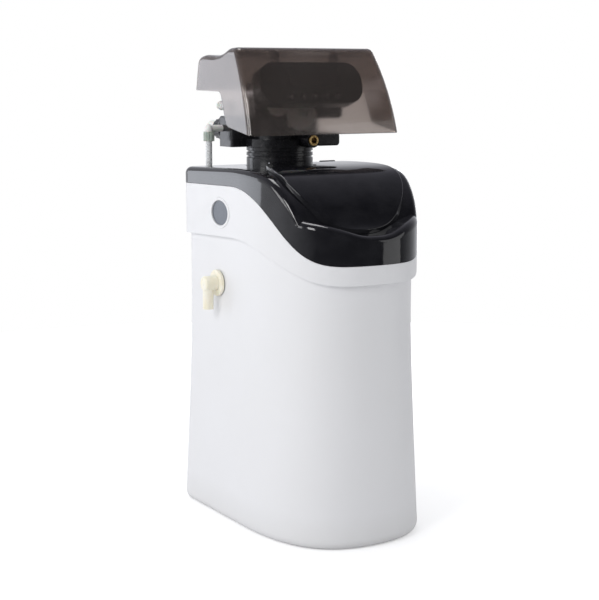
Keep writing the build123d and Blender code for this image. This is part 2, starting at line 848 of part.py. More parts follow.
# Resin bed: the softening beads as one bulk, round the riser
with BuildPart() as resin_bed:
    extrude(ring(Plane.XY.offset(resin_bottom_z), (0, vessel_y), vessel_r - vessel_wall - resin_gap,
                 riser_r + resin_gap), amount=resin_top_z - resin_bottom_z)
    revolve(vessel_half(vessel_wall + resin_gap), axis=vessel_axis, mode=Mode.INTERSECT)
    basket_top_z = riser_bottom_z + lower_basket_height
    extrude(disc(Plane.XY.offset(0), (0, vessel_y), lower_basket_r + resin_gap),
            amount=basket_top_z + resin_gap, mode=Mode.SUBTRACT)
resin_bed.part.label = "resin_bed"
export_step(resin_bed.part, "parts/resin_bed.step")

# Neck ring: black, grooved, screwed on the vessel's neck under the valve
with BuildPart() as neck_ring:
    extrude(disc(Plane.XY.offset(neck_ring_bottom_z), (0, vessel_y), neck_ring_r),
            amount=neck_top_z - neck_ring_bottom_z)
    for groove_z in neck_grooves_z:
        extrude(ring(Plane.XY.offset(groove_z), (0, vessel_y), neck_ring_r + 1, neck_ring_r - neck_groove),
                amount=neck_groove_height, mode=Mode.SUBTRACT)
    fillet(circles(neck_ring, neck_ring_r), neck_ring_edge_r)
    extrude(disc(Plane.XY.offset(neck_ring_bottom_z), (0, vessel_y), vessel_neck_r + socket_fit),
            amount=vessel_neck_top_z - neck_ring_bottom_z, mode=Mode.SUBTRACT)
    extrude(disc(Plane.XY.offset(neck_ring_bottom_z), (0, vessel_y), vessel_bore_r),
            amount=neck_top_z - neck_ring_bottom_z, mode=Mode.SUBTRACT)
neck_ring.part.label = "neck_ring"
export_step(neck_ring.part, "parts/neck_ring.step")

# Riser tube and its two slotted baskets
with BuildPart() as riser_tube:
    extrude(ring(Plane.XY.offset(riser_bottom_z), (0, vessel_y), riser_r, riser_r - riser_wall),
            amount=riser_top_z - riser_bottom_z)
riser_tube.part.label = "riser_tube"
export_step(riser_tube.part, "parts/riser_tube.step")

with BuildPart() as lower_basket:
    extrude(disc(Plane.XY.offset(riser_bottom_z - basket_floor), (0, vessel_y), lower_basket_r),
            amount=lower_basket_height + basket_floor)
    extrude(disc(Plane.XY.offset(riser_bottom_z), (0, vessel_y), riser_r), amount=lower_basket_height,
            mode=Mode.SUBTRACT)
    extrude(ring(Plane.XY.offset(riser_bottom_z), (0, vessel_y), lower_basket_r - basket_wall,
                 riser_r + basket_wall), amount=lower_basket_height - basket_floor, mode=Mode.SUBTRACT)
    with Locations((0, vessel_y, riser_bottom_z + lower_basket_height / 2)):
        with PolarLocations(lower_basket_r - basket_wall / 2, basket_slots):
            Box(3 * basket_wall, basket_slot_width, lower_basket_height - 2 * basket_slot_margin,
                mode=Mode.SUBTRACT)
lower_basket.part.label = "lower_basket"
export_step(lower_basket.part, "parts/lower_basket.step")

upper_basket_bottom_z = neck_top_z - upper_basket_height
with BuildPart() as upper_basket:
    extrude(ring(Plane.XY.offset(upper_basket_bottom_z), (0, vessel_y), upper_basket_r, riser_r + riser_fit),
            amount=upper_basket_height)
    extrude(ring(Plane.XY.offset(upper_basket_bottom_z + basket_floor), (0, vessel_y),
                 upper_basket_r - basket_wall, riser_r + riser_fit + basket_wall),
            amount=upper_basket_height, mode=Mode.SUBTRACT)
    with Locations((0, vessel_y, upper_basket_bottom_z + upper_basket_height / 2)):
        with PolarLocations(upper_basket_r - basket_wall / 2, basket_slots):
            Box(3 * basket_wall, basket_slot_width, upper_basket_height - 2 * basket_slot_margin,
                mode=Mode.SUBTRACT)
upper_basket.part.label = "upper_basket"
export_step(upper_basket.part, "parts/upper_basket.step")

# Brine well: an open tube on the cabinet floor with slots at its foot
brine_entry_y = well_y + well_r
with BuildPart() as brine_well:
    extrude(ring(Plane.XY.offset(tank_floor), (well_x, well_y), well_r, well_r - well_wall),
            amount=well_top_z - tank_floor)
    with Locations((well_x, well_y, (tank_floor + well_slot_foot + well_slot_top_z) / 2)):
        with PolarLocations(well_r, well_slots):
            Box(4 * well_wall, well_slot_width, well_slot_top_z - tank_floor - well_slot_foot,
                mode=Mode.SUBTRACT)
    extrude(disc(front_plane(well_y), (well_x, brine_inlet_z), brine_nut_r + guide_clearance),
            amount=-well_r - well_wall, mode=Mode.SUBTRACT)
brine_well.part.label = "brine_well"
export_step(brine_well.part, "parts/brine_well.step")

with BuildPart() as brine_well_cap:
    extrude(disc(Plane.XY.offset(well_top_z + cap_fit - cap_skirt), (well_x, well_y),
                 well_r + cap_fit + cap_wall),
            amount=cap_skirt + cap_wall)
    fillet(brine_well_cap.edges().group_by(Axis.Z)[-1], cap_edge_r)
    extrude(disc(Plane.XY.offset(well_top_z + cap_fit - cap_skirt), (well_x, well_y), well_r + cap_fit),
            amount=cap_skirt, mode=Mode.SUBTRACT)
brine_well_cap.part.label = "brine_well_cap"
export_step(brine_well_cap.part, "parts/brine_well_cap.step")

# Brine valve: hung inside the well, with an outlet nut through the well's wall
rod_x = well_x + float_rod_x
brine_valve_top_z = brine_valve_bottom_z + rod_reach + float_travel + brine_valve_roof
with BuildPart() as brine_valve:
    extrude(disc(Plane.XY.offset(brine_valve_bottom_z), (well_x, well_y), brine_valve_r),
            amount=brine_valve_top_z - brine_valve_bottom_z)
    extrude(disc(front_plane(well_y), (well_x, brine_inlet_z), brine_nut_r), amount=-(well_r + nut_reach))
    extrude(disc(front_plane(well_y), (well_x, brine_inlet_z), brine_tube_r - brine_tube_wall),
            amount=-(well_r + nut_reach), mode=Mode.SUBTRACT)
    extrude(disc(front_plane(well_y + well_r + nut_reach), (well_x, brine_inlet_z),
                 brine_tube_r + socket_fit),
            amount=tube_grip, mode=Mode.SUBTRACT)
    extrude(disc(Plane.XY.offset(brine_valve_bottom_z), (well_x, well_y), pickup_bore_r),
            amount=brine_inlet_z - brine_valve_bottom_z, mode=Mode.SUBTRACT)
    extrude(disc(Plane.XY.offset(brine_valve_bottom_z), (rod_x, well_y), float_rod_r + running_fit),
            amount=brine_valve_top_z - brine_valve_bottom_z, mode=Mode.SUBTRACT)
    extrude(disc(Plane.XY.offset(brine_valve_bottom_z), (well_x, well_y), pickup_r),
            amount=pickup_socket, mode=Mode.SUBTRACT)
    with BuildSketch(Plane.XY.offset(brine_valve_bottom_z)) as struts:
        with Locations((well_x, well_y)):
            with PolarLocations(0, 3, start_angle=30):
                with Locations(((well_r - well_wall) / 2, 0)):
                    Rectangle(well_r, strut_width)
            Circle(well_r - well_wall, mode=Mode.INTERSECT)
            Circle(brine_valve_r - running_fit, mode=Mode.SUBTRACT)
    extrude(amount=2 * strut_width)
brine_valve.part.label = "brine_valve"
export_step(brine_valve.part, "parts/brine_valve.step")

with BuildPart() as pickup_tube:
    extrude(ring(Plane.XY.offset(pickup_bottom_z + air_check_height), (well_x, well_y), pickup_r,
                 pickup_bore_r),
            amount=brine_valve_bottom_z + pickup_socket - pickup_bottom_z - air_check_height)
    extrude(ring(Plane.XY.offset(pickup_bottom_z), (well_x, well_y), air_check_r, pickup_bore_r),
            amount=air_check_height)
    with Locations((well_x, well_y, pickup_bottom_z + air_check_slot_rise)):
        with PolarLocations(air_check_r, air_check_slots):
            Box(air_check_r - pickup_bore_r, air_check_slot_width, air_check_slot_rise, mode=Mode.SUBTRACT)
pickup_tube.part.label = "pickup_tube"
export_step(pickup_tube.part, "parts/pickup_tube.step")

with BuildPart() as brine_float:
    extrude(ring(Plane.XY.offset(float_rest_z), (well_x, well_y), float_r, pickup_r + guide_clearance),
            amount=float_height)
    fillet(circles(brine_float, float_r), float_edge_r)
    extrude(disc(Plane.XY.offset(float_rest_z + float_height), (rod_x, well_y), float_rod_r),
            amount=-rod_grip, mode=Mode.SUBTRACT)
brine_float.part.label = "brine_float"
export_step(brine_float.part, "parts/brine_float.step")

with BuildPart() as float_rod:
    extrude(disc(Plane.XY.offset(float_rest_z + float_height - rod_grip), (rod_x, well_y), float_rod_r),
            amount=brine_valve_bottom_z + rod_reach - float_rest_z - float_height + rod_grip)
float_rod.part.label = "float_rod"
export_step(float_rod.part, "parts/float_rod.step")

# Brine tube: straight down through the deck, then forward and across to the well
tube_start = (brine_elbow_x, brine_port_y, brine_nut_bottom_z + tube_grip)
tube_corners = [
    (brine_elbow_x, brine_port_y, brine_inlet_z),
    (brine_elbow_x, vessel_y - tube_turn_back, brine_inlet_z),
    (well_x, brine_entry_y + tube_turn_front, brine_inlet_z),
]
tube_end = (well_x, brine_entry_y + nut_reach - tube_grip, brine_inlet_z)
with BuildPart() as brine_tube:
    with BuildLine() as tube_path:
        FilletPolyline(tube_start, *tube_corners, tube_end, radius=tube_bends)
    with BuildSketch(Plane(origin=tube_start, z_dir=(0, 0, -1))):
        Circle(brine_tube_r)
        Circle(brine_tube_r - brine_tube_wall, mode=Mode.SUBTRACT)
    sweep()
brine_tube.part.label = "brine_tube"
export_step(brine_tube.part, "parts/brine_tube.step")
tube_section = pi * (brine_tube_r ** 2 - (brine_tube_r - brine_tube_wall) ** 2)
print("brine tube volume against section times length",
      brine_tube.part.volume / (tube_section * sum(edge.length for edge in tube_path.edges())))

# Salt grid: perforated floor of the salt space, cut round the vessel and the well
with BuildPart() as salt_grid:
    grid_grow = flare(grid_z) - tank_wall - grid_gap
    extrude(plan(grid_z, grid_grow), amount=grid_thick)
    with Locations((0, vessel_y + span / 2, grid_z)):
        Box(span, span, span, mode=Mode.SUBTRACT)
    extrude(disc(Plane.XY.offset(grid_z), (0, vessel_y), vessel_r + grid_gap), amount=grid_thick,
            mode=Mode.SUBTRACT)
    extrude(disc(Plane.XY.offset(grid_z), (well_x, well_y), well_r + grid_gap), amount=grid_thick,
            mode=Mode.SUBTRACT)
    with BuildSketch(Plane.XY.offset(grid_z)) as perforation:
        with Locations((0, grid_field_y)):
            with GridLocations(grid_pitch, grid_pitch, grid_columns, grid_rows):
                Circle(grid_hole_r)
        with Locations((well_x, well_y)):
            Circle(well_r + 3 * grid_gap + grid_hole_r, mode=Mode.SUBTRACT)
    extrude(amount=grid_thick, mode=Mode.SUBTRACT)
    for leg_x, leg_y in grid_legs:
        extrude(disc(Plane.XY.offset(tank_floor), (leg_x, leg_y), grid_leg_r), amount=grid_z - tank_floor)
salt_grid.part.label = "salt_grid"
export_step(salt_grid.part, "parts/salt_grid.step")

# Valve body: base, tower, piston barrel, rear port block, plug boss and injector block
port_face_y = barrel_rear_y
injector_z = (injector_bottom_z + injector_top_z) / 2
injector_face_y = injector_front_y + injector_cap_thick
cap_screws_at = [(cap_screw_circle_r * cos(radians(turn)), piston_z + cap_screw_circle_r * sin(radians(turn)))
                 for turn in range(45, 360, 90)]
with BuildPart() as valve_body:
    base = Plane.XY.offset(neck_top_z)
    extrude(disc(base, (0, vessel_y), valve_base_r), amount=valve_base_height)
    extrude(disc(base, (0, vessel_y), tower_r), amount=piston_z - neck_top_z)
    extrude(disc(front_plane(barrel_front_y), (0, piston_z), barrel_r), amount=barrel_front_y - barrel_rear_y)
    extrude(disc(front_plane(barrel_front_y), (0, piston_z), cap_plate_r), amount=-cap_flange)
    with BuildSketch(base):
        with Locations((0, (rear_block_front_y + port_face_y) / 2)):
            RectangleRounded(2 * rear_block_half, port_face_y - rear_block_front_y, rear_block_corner_r)
    extrude(amount=rear_block_top_z - neck_top_z)
    fillet(valve_body.edges().filter_by(lambda e: abs(e.center().Z - rear_block_top_z) < 0.01
                                        and abs(e.center().X) > rear_block_half - rear_block_corner_r - 1),
           rear_block_edge_r)
    extrude(disc(front_plane(plug_front_y), (plug_x, plug_z), plug_boss_r),
            amount=plug_front_y + tower_r / 2 - vessel_y)
    with BuildSketch(front_plane(injector_face_y)):
        with Locations((injector_x, injector_z)):
            RectangleRounded(2 * (injector_half - injector_step),
                             injector_top_z - injector_bottom_z - injector_step,
                             injector_corner_r - injector_step)
    extrude(amount=injector_face_y - vessel_y)
    for side in (-1, 1):
        extrude(disc(front_plane(port_face_y), (side * port_x, port_z), spigot_r), amount=-spigot_length)
    # Piston bore, riser socket and tank port
    extrude(disc(front_plane(barrel_front_y), (0, piston_z), bore_r), amount=-bore_depth, mode=Mode.SUBTRACT)
    extrude(disc(base, (0, vessel_y), riser_r + riser_fit), amount=riser_top_z - neck_top_z,
            mode=Mode.SUBTRACT)
    extrude(disc(base, (0, vessel_y), riser_r - riser_wall), amount=piston_z - neck_top_z, mode=Mode.SUBTRACT)
    extrude(disc(base, (0, vessel_y - (riser_r + vessel_bore_r) / 2), duct_r), amount=piston_z - neck_top_z,
            mode=Mode.SUBTRACT)
    # Inlet, outlet, drain and brine passages
    for side, duct_y in ((-1, inlet_duct_y), (1, outlet_duct_y)):
        extrude(disc(front_plane(port_face_y - port_depth), (side * port_x, port_z), port_bore_r),
                amount=-(port_depth + spigot_length), mode=Mode.SUBTRACT)
        extrude(disc(side_plane(side * duct_x), (duct_y, port_z), duct_r),
                amount=side * (port_x - port_bore_r + duct_overlap - duct_x), mode=Mode.SUBTRACT)
        extrude(disc(Plane.XY.offset(port_z), (side * duct_x, duct_y), duct_r), amount=piston_z - port_z,
                mode=Mode.SUBTRACT)
    drain_duct_z = rear_block_top_z - 2 * drain_duct_r
    extrude(disc(side_plane(drain_x), (drain_y, drain_duct_z), drain_duct_r), amount=-drain_x - duct_x,
            mode=Mode.SUBTRACT)
    extrude(disc(Plane.XY.offset(drain_duct_z), (drain_x, drain_y), drain_duct_r), amount=3 * drain_duct_r,
            mode=Mode.SUBTRACT)
    extrude(disc(side_plane(-rear_block_half), (brine_port_y, brine_port_z), brine_bore_r),
            amount=brine_bore_r,
            mode=Mode.SUBTRACT)
    # Seats of the plug, the nozzle and the cap's screws
    extrude(disc(front_plane(plug_front_y), (plug_x, plug_z), plug_shank_r), amount=-plug_length,
            mode=Mode.SUBTRACT)
    extrude(disc(front_plane(injector_face_y), (injector_x, injector_z), nozzle_r + socket_fit),
            amount=-(nozzle_length + nozzle_room), mode=Mode.SUBTRACT)
    for screw_at in cap_screws_at:
        extrude(disc(front_plane(barrel_front_y), screw_at, cap_screw_r), amount=-cap_screw_bite,
                mode=Mode.SUBTRACT)
    # Spindle that the meter's turbine turns on
    extrude(disc(front_plane(port_face_y - port_depth - spindle_end), (port_x, port_z), spindle_r),
            amount=-(turbine_gap + turbine_length + 2 * spindle_end))
valve_body.part.label = "valve_body"
export_step(valve_body.part, "parts/valve_body.step")

# Meter turbine in the outlet port
turbine_y = port_face_y - port_depth + turbine_gap
with BuildPart() as meter_turbine:
    extrude(disc(front_plane(turbine_y), (port_x, port_z), turbine_hub_r), amount=-turbine_length)
    for vane in range(turbine_vanes):
        with BuildSketch(front_plane(turbine_y)):
            with Locations((port_x, port_z)):
                with Locations(Rotation(0, 0, 360 * vane / turbine_vanes)):
                    with Locations((turbine_r / 2, 0)):
                        Rectangle(turbine_r, vane_thick)
        extrude(amount=-turbine_length)
    extrude(disc(front_plane(turbine_y), (port_x, port_z), spindle_r + running_fit), amount=-turbine_length,
            mode=Mode.SUBTRACT)
meter_turbine.part.label = "meter_turbine"
export_step(meter_turbine.part, "parts/meter_turbine.step")

# Port clips, nuts and pipe tails, a pair of each
clip_front_y = port_face_y + clip_gap
nut_front_y = clip_front_y + clip_thick + nut_gap
tail_flange_y = port_face_y + spigot_length
with BuildPart() as port_clips:
    for side in (-1, 1):
        with BuildSketch(front_plane(clip_front_y)):
            with Locations((side * port_x, port_z)):
                Circle(clip_r)
                with Locations((0, clip_r + clip_loop_r / 2)):
                    Circle(clip_loop_r)
            with Locations((side * port_x, port_z)):
                Circle(spigot_r, mode=Mode.SUBTRACT)
                with Locations((0, clip_r + clip_loop_r / 2)):
                    Circle(clip_loop_bore_r, mode=Mode.SUBTRACT)
                with Locations((0, -clip_r)):
                    Rectangle(clip_mouth, 2 * clip_r - spigot_r, mode=Mode.SUBTRACT)
        extrude(amount=-clip_thick)
port_clips.part.label = "port_clips"
export_step(port_clips.part, "parts/port_clips.step")

with BuildPart() as port_nuts:
    for side in (-1, 1):
        at = (side * port_x, port_z)
        with BuildSketch(front_plane(nut_front_y)):
            with Locations(at):
                Circle(nut_r)
                with PolarLocations(nut_r, nut_ribs):
                    Circle(nut_rib_r)
        extrude(amount=-nut_length)
        extrude(disc(front_plane(nut_front_y), at, spigot_r + socket_fit),
                amount=nut_front_y - tail_flange_y - tail_flange_thick, mode=Mode.SUBTRACT)
        extrude(disc(front_plane(nut_front_y), at, tail_hub_r + socket_fit), amount=-nut_length,
                mode=Mode.SUBTRACT)
port_nuts.part.label = "port_nuts"
export_step(port_nuts.part, "parts/port_nuts.step")

with BuildPart() as port_tails:
    for side in (-1, 1):
        at = (side * port_x, port_z)
        extrude(ring(front_plane(tail_flange_y), at, spigot_r, tail_bore_r), amount=-tail_flange_thick)
        extrude(ring(front_plane(tail_flange_y), at, tail_hub_r, tail_bore_r),
                amount=tail_flange_y - tail_hub_end_y)
        extrude(ring(front_plane(tail_flange_y), at, tail_r, tail_bore_r), amount=tail_flange_y - tail_end_y)
port_tails.part.label = "port_tails"
export_step(port_tails.part, "parts/port_tails.step")

# Drive cap closes the barrel's front; four screws hold it and the bracket
cap_front_y = barrel_front_y - cap_plate_thick
bracket_front_y = cap_front_y - bracket_thick
with BuildPart() as drive_cap:
    extrude(disc(front_plane(cap_front_y), (0, piston_z), cap_plate_r), amount=-cap_plate_thick)
    extrude(disc(front_plane(cap_front_y), (0, piston_z), bore_r - socket_fit),
            amount=-(cap_plate_thick + spigot_depth))
    extrude(disc(front_plane(cap_front_y), (0, piston_z), rod_r + running_fit),
            amount=-(cap_plate_thick + spigot_depth), mode=Mode.SUBTRACT)
    for screw_at in cap_screws_at:
        extrude(disc(front_plane(cap_front_y), screw_at, cap_screw_r + socket_fit), amount=-cap_plate_thick,
                mode=Mode.SUBTRACT)
drive_cap.part.label = "drive_cap"
export_step(drive_cap.part, "parts/drive_cap.step")

with BuildPart() as drive_cap_screws:
    for screw_at in cap_screws_at:
        extrude(disc(front_plane(bracket_front_y), screw_at, cap_screw_head_r), amount=cap_screw_head)
        extrude(disc(front_plane(bracket_front_y), screw_at, cap_screw_r),
                amount=-(bracket_thick + cap_plate_thick + cap_screw_bite))
drive_cap_screws.part.label = "drive_cap_screws"
export_step(drive_cap_screws.part, "parts/drive_cap_screws.step")

# Seals and spacers fill the bore behind the cap, in turn
stack_y = barrel_front_y + spigot_depth
with BuildPart() as piston_seals:
    for place in range(seal_count):
        y = stack_y + place * (seal_width + spacer_width)
        extrude(ring(front_plane(y), (0, piston_z), bore_r - seal_bore_gap, piston_r + piston_fit),
                amount=-seal_width)
piston_seals.part.label = "piston_seals"
export_step(piston_seals.part, "parts/piston_seals.step")

with BuildPart() as seal_spacers:
    for place in range(seal_count - 1):
        y = stack_y + seal_width + place * (seal_width + spacer_width)
        extrude(ring(front_plane(y), (0, piston_z), bore_r - seal_bore_gap, piston_r + spacer_room),
                amount=-spacer_width)
        with Locations((0, y + spacer_width / 2, piston_z)):
            Box(2 * bore_r, spacer_width / 2, spacer_slot, mode=Mode.SUBTRACT)
            Box(spacer_slot, spacer_width / 2, 2 * bore_r, mode=Mode.SUBTRACT)
seal_spacers.part.label = "seal_spacers"
export_step(seal_spacers.part, "parts/seal_spacers.step")

# Piston and its rod, which the drive gear pushes and pulls
piston_rear_y = barrel_front_y + bore_depth - piston_rest_gap
piston_front_y = piston_rear_y - piston_length
with BuildPart() as piston:
    extrude(disc(front_plane(piston_front_y), (0, piston_z), piston_r), amount=-piston_length)
    for waist_y in (piston_front_y + piston_length / 3, piston_rear_y - piston_length / 3):
        extrude(ring(front_plane(waist_y - waist_length / 2), (0, piston_z), 2 * piston_r,
                     piston_r - waist_depth),
                amount=-waist_length, mode=Mode.SUBTRACT)
    extrude(disc(front_plane(piston_front_y), (0, piston_z), rod_r), amount=-rod_seat, mode=Mode.SUBTRACT)
piston.part.label = "piston"
export_step(piston.part, "parts/piston.step")

with BuildPart() as piston_rod:
    extrude(disc(front_plane(rod_front_y), (0, piston_z), rod_r),
            amount=rod_front_y - piston_front_y - rod_seat)
    fillet(piston_rod.edges().group_by(Axis.Y)[0], rod_edge_r)
piston_rod.part.label = "piston_rod"
export_step(piston_rod.part, "parts/piston_rod.step")

# Gear train on the bracket: pinion, idler and the drive gear round the rod
gear_back_y = bracket_front_y - gear_gap
gear_plane = front_plane(gear_back_y)
idler_distance = gear_module * (drive_teeth + idler_teeth) / 2
pinion_distance = gear_module * (idler_teeth + pinion_teeth) / 2
drive_at = (0, piston_z)
idler_at = (idler_distance * cos(radians(idler_direction)),
            piston_z + idler_distance * sin(radians(idler_direction)))
pinion_at = (idler_at[0] + pinion_distance * cos(radians(pinion_direction)),
             idler_at[1] + pinion_distance * sin(radians(pinion_direction)))


def meshing_phase(direction, phase, teeth, next_teeth):
    """Phase that puts a gap of the next gear where a tooth of this gear meets it."""
    return direction + 180 - (phase - direction) * teeth / next_teeth + 180 / next_teeth


drive_phase = idler_direction
idler_phase = meshing_phase(idler_direction, drive_phase, drive_teeth, idler_teeth)
pinion_phase = meshing_phase(pinion_direction, idler_phase, idler_teeth, pinion_teeth)

with BuildPart() as drive_gear:
    extrude(gear_outline(gear_plane, drive_at, drive_teeth, drive_phase, rod_r + running_fit),
            amount=gear_thick)
    extrude(ring(gear_plane, drive_at, hub_r, rod_r + running_fit),
            amount=-(gear_gap + bracket_thick - hub_end_gap))
drive_gear.part.label = "drive_gear"
export_step(drive_gear.part, "parts/drive_gear.step")

with BuildPart() as idler_gear:
    extrude(gear_outline(gear_plane, idler_at, idler_teeth, idler_phase, idler_axle_r + running_fit),
            amount=gear_thick)
idler_gear.part.label = "idler_gear"
export_step(idler_gear.part, "parts/idler_gear.step")

with BuildPart() as motor_pinion:
    extrude(gear_outline(gear_plane, pinion_at, pinion_teeth, pinion_phase, motor_shaft_r - gear_grip),
            amount=gear_thick)
    extrude(disc(front_plane(gear_back_y - gear_thick), pinion_at, motor_shaft_r),
            amount=-(gear_thick + gear_gap + bracket_thick + shaft_depth))
motor_pinion.part.label = "motor_pinion"
export_step(motor_pinion.part, "parts/motor_pinion.step")

with BuildPart() as drive_motor:
    extrude(disc(front_plane(cap_front_y), pinion_at, motor_r), amount=-motor_length)
    fillet(drive_motor.edges().group_by(Axis.Y)[-1], motor_edge_r)
    extrude(disc(front_plane(cap_front_y + motor_length), pinion_at, motor_boss_r), amount=-motor_boss)
    extrude(disc(front_plane(cap_front_y), pinion_at, motor_shaft_r + running_fit), amount=-2 * shaft_depth,
            mode=Mode.SUBTRACT)
drive_motor.part.label = "drive_motor"
export_step(drive_motor.part, "parts/drive_motor.step")

# Drive bracket: the plate between the cap and the control head, with the idler's axle
with BuildPart() as drive_bracket:
    with BuildSketch(front_plane(bracket_front_y)):
        with Locations(((bracket_left + bracket_right) / 2, (bracket_bottom_z + bracket_top_z) / 2)):
            RectangleRounded(bracket_right - bracket_left, bracket_top_z - bracket_bottom_z, bracket_corner_r)
        with Locations(((bracket_left + bracket_foot_right) / 2, (bracket_bottom_z + bracket_foot_top_z) / 2)):
            RectangleRounded(bracket_foot_right - bracket_left, bracket_foot_top_z - bracket_bottom_z,
                             bracket_corner_r)
        with Locations(drive_at):
            Circle(cap_plate_r)
            Circle(hub_r + running_fit, mode=Mode.SUBTRACT)
            with PolarLocations(cap_screw_circle_r, 4, start_angle=45):
                Circle(cap_screw_r + socket_fit, mode=Mode.SUBTRACT)
        with Locations(pinion_at):
            Circle(2 * motor_shaft_r, mode=Mode.SUBTRACT)
    extrude(amount=-bracket_thick)
    extrude(disc(front_plane(bracket_front_y), idler_at, idler_axle_r),
            amount=gear_gap + gear_thick + axle_end)
drive_bracket.part.label = "drive_bracket"
export_step(drive_bracket.part, "parts/drive_bracket.step")

# Injector: a nozzle in its chamber behind a cap
with BuildPart() as injector_cap:
    with BuildSketch(front_plane(injector_face_y)):
        with Locations((injector_x, injector_z)):
            RectangleRounded(2 * injector_half, injector_top_z - injector_bottom_z, injector_corner_r)
    extrude(amount=injector_cap_thick)
    fillet(injector_cap.edges().group_by(Axis.Y)[0], injector_edge_r)
injector_cap.part.label = "injector_cap"
export_step(injector_cap.part, "parts/injector_cap.step")

with BuildPart() as injector_nozzle:
    with BuildSketch(Plane.XY.offset(injector_z)):
        with BuildLine():
            Polyline((injector_x, injector_face_y), (injector_x + nozzle_r, injector_face_y),
                     (injector_x + nozzle_r, injector_face_y + nozzle_length / 2),
                     (injector_x + nozzle_r / 2, injector_face_y + nozzle_length),
                     (injector_x, injector_face_y + nozzle_length), close=True)
        make_face()
    revolve(axis=Axis((injector_x, 0, injector_z), (0, 1, 0)))
    extrude(disc(front_plane(injector_face_y), (injector_x, injector_z), nozzle_throat_r),
            amount=-nozzle_length,
            mode=Mode.SUBTRACT)
injector_nozzle.part.label = "injector_nozzle"
export_step(injector_nozzle.part, "parts/injector_nozzle.step")

with BuildPart() as brass_plug:
    extrude(disc(front_plane(plug_front_y), (plug_x, plug_z), plug_r), amount=plug_head)
    extrude(disc(front_plane(plug_front_y), (plug_x, plug_z), plug_shank_r),
            amount=plug_end_gap - plug_length)
    with BuildSketch(front_plane(plug_front_y - plug_head)):
        with Locations((plug_x, plug_z)):
            RegularPolygon(plug_socket_r, 6)
    extrude(amount=-plug_socket_depth, mode=Mode.SUBTRACT)
    fillet(circles(brass_plug, plug_r).sort_by(Axis.Y)[0], plug_edge_r)
brass_plug.part.label = "brass_plug"
export_step(brass_plug.part, "parts/brass_plug.step")

# Drain elbow: rises from the port block, then runs back to a barbed end
with BuildPart() as drain_elbow:
    extrude(disc(Plane.XY.offset(rear_block_top_z), (drain_x, drain_y), drain_body_r),
            amount=drain_z - rear_block_top_z)
    with Locations((drain_x, drain_y, drain_z)):
        Sphere(drain_body_r)
    extrude(disc(front_plane(drain_y), (drain_x, drain_z), barb_root_r), amount=drain_y - drain_end_y)
    for barb in range(barb_count):
        barb_y = drain_end_y - (barb + 1) * barb_pitch
        with BuildSketch(front_plane(barb_y)):
            with Locations((drain_x, drain_z)):
                Circle(drain_r)
        extrude(amount=-barb_pitch, taper=barb_taper)
    extrude(disc(front_plane(drain_y), (drain_x, drain_z), drain_bore_r), amount=drain_y - drain_end_y,
            mode=Mode.SUBTRACT)
    extrude(disc(Plane.XY.offset(rear_block_top_z), (drain_x, drain_y), drain_bore_r),
            amount=drain_z - rear_block_top_z, mode=Mode.SUBTRACT)
drain_elbow.part.label = "drain_elbow"
export_step(drain_elbow.part, "parts/drain_elbow.step")

# Brine elbow: out of the port block's left side and down, with its nut
with BuildPart() as brine_elbow:
    extrude(disc(side_plane(-rear_block_half), (brine_port_y, brine_port_z), brine_port_r),
            amount=brine_elbow_x + rear_block_half)
    with Locations((brine_elbow_x, brine_port_y, brine_port_z)):
        Sphere(brine_leg_r)
    leg_plane = Plane.XY.offset(brine_nut_bottom_z)
    leg_at = (brine_elbow_x, brine_port_y)
    leg_length = brine_port_z - brine_nut_bottom_z
    extrude(disc(leg_plane, leg_at, brine_leg_r), amount=leg_length)
    extrude(disc(leg_plane, leg_at, brine_tube_r + socket_fit), amount=tube_grip, mode=Mode.SUBTRACT)
    extrude(disc(leg_plane, leg_at, brine_bore_r), amount=leg_length, mode=Mode.SUBTRACT)
    extrude(disc(side_plane(-rear_block_half), (brine_port_y, brine_port_z), brine_bore_r),
            amount=brine_elbow_x + rear_block_half, mode=Mode.SUBTRACT)
brine_elbow.part.label = "brine_elbow"
export_step(brine_elbow.part, "parts/brine_elbow.step")

with BuildPart() as brine_elbow_nut:
    with BuildSketch(Plane.XY.offset(brine_nut_bottom_z)):
        with Locations((brine_elbow_x, brine_port_y)):
            Circle(brine_nut_r)
            with PolarLocations(brine_nut_r, brine_nut_ribs):
                Circle(nut_rib_r)
            Circle(brine_leg_r, mode=Mode.SUBTRACT)
    extrude(amount=brine_nut_top_z - brine_nut_bottom_z)
brine_elbow_nut.part.label = "brine_elbow_nut"
export_step(brine_elbow_nut.part, "parts/brine_elbow_nut.step")

# Control head: leaning housing with faceplate, window lens, display, board, buttons and power jack
panel_plane = Plane(origin=(0, panel_y, panel_z), x_dir=(1, 0, 0),
                    z_dir=(0, -cos(radians(panel_tilt)), sin(radians(panel_tilt))))


def panel_at(depth):
    """Plane of the leaning panel at a depth behind its face."""
    return panel_plane.offset(-depth)


def panel_outline(plane, inset):
    """Long rounded outline of the control head."""
    with BuildSketch(plane) as outline:
        RectangleRounded(panel_width - 2 * inset, panel_height - 2 * inset, panel_corner_r - inset)
    return outline.sketch


with BuildPart() as controller_housing:
    extrude(panel_outline(panel_at(housing_depth), 0), amount=housing_depth - panel_thick)
    fillet(controller_housing.faces().sort_by(Axis.Y)[-1].edges(), housing_edge_r)
    for post in post_places:
        extrude(disc(front_plane(bracket_front_y), post, post_r), amount=post_length)
    extrude(panel_outline(panel_at(housing_depth - housing_wall), housing_wall),
            amount=housing_depth - housing_wall, mode=Mode.SUBTRACT)
    extrude(disc(panel_at(housing_depth), (jack_x, jack_up), jack_r + socket_fit), amount=2 * housing_wall,
            mode=Mode.SUBTRACT)
controller_housing.part.label = "controller_housing"
export_step(controller_housing.part, "parts/controller_housing.step")

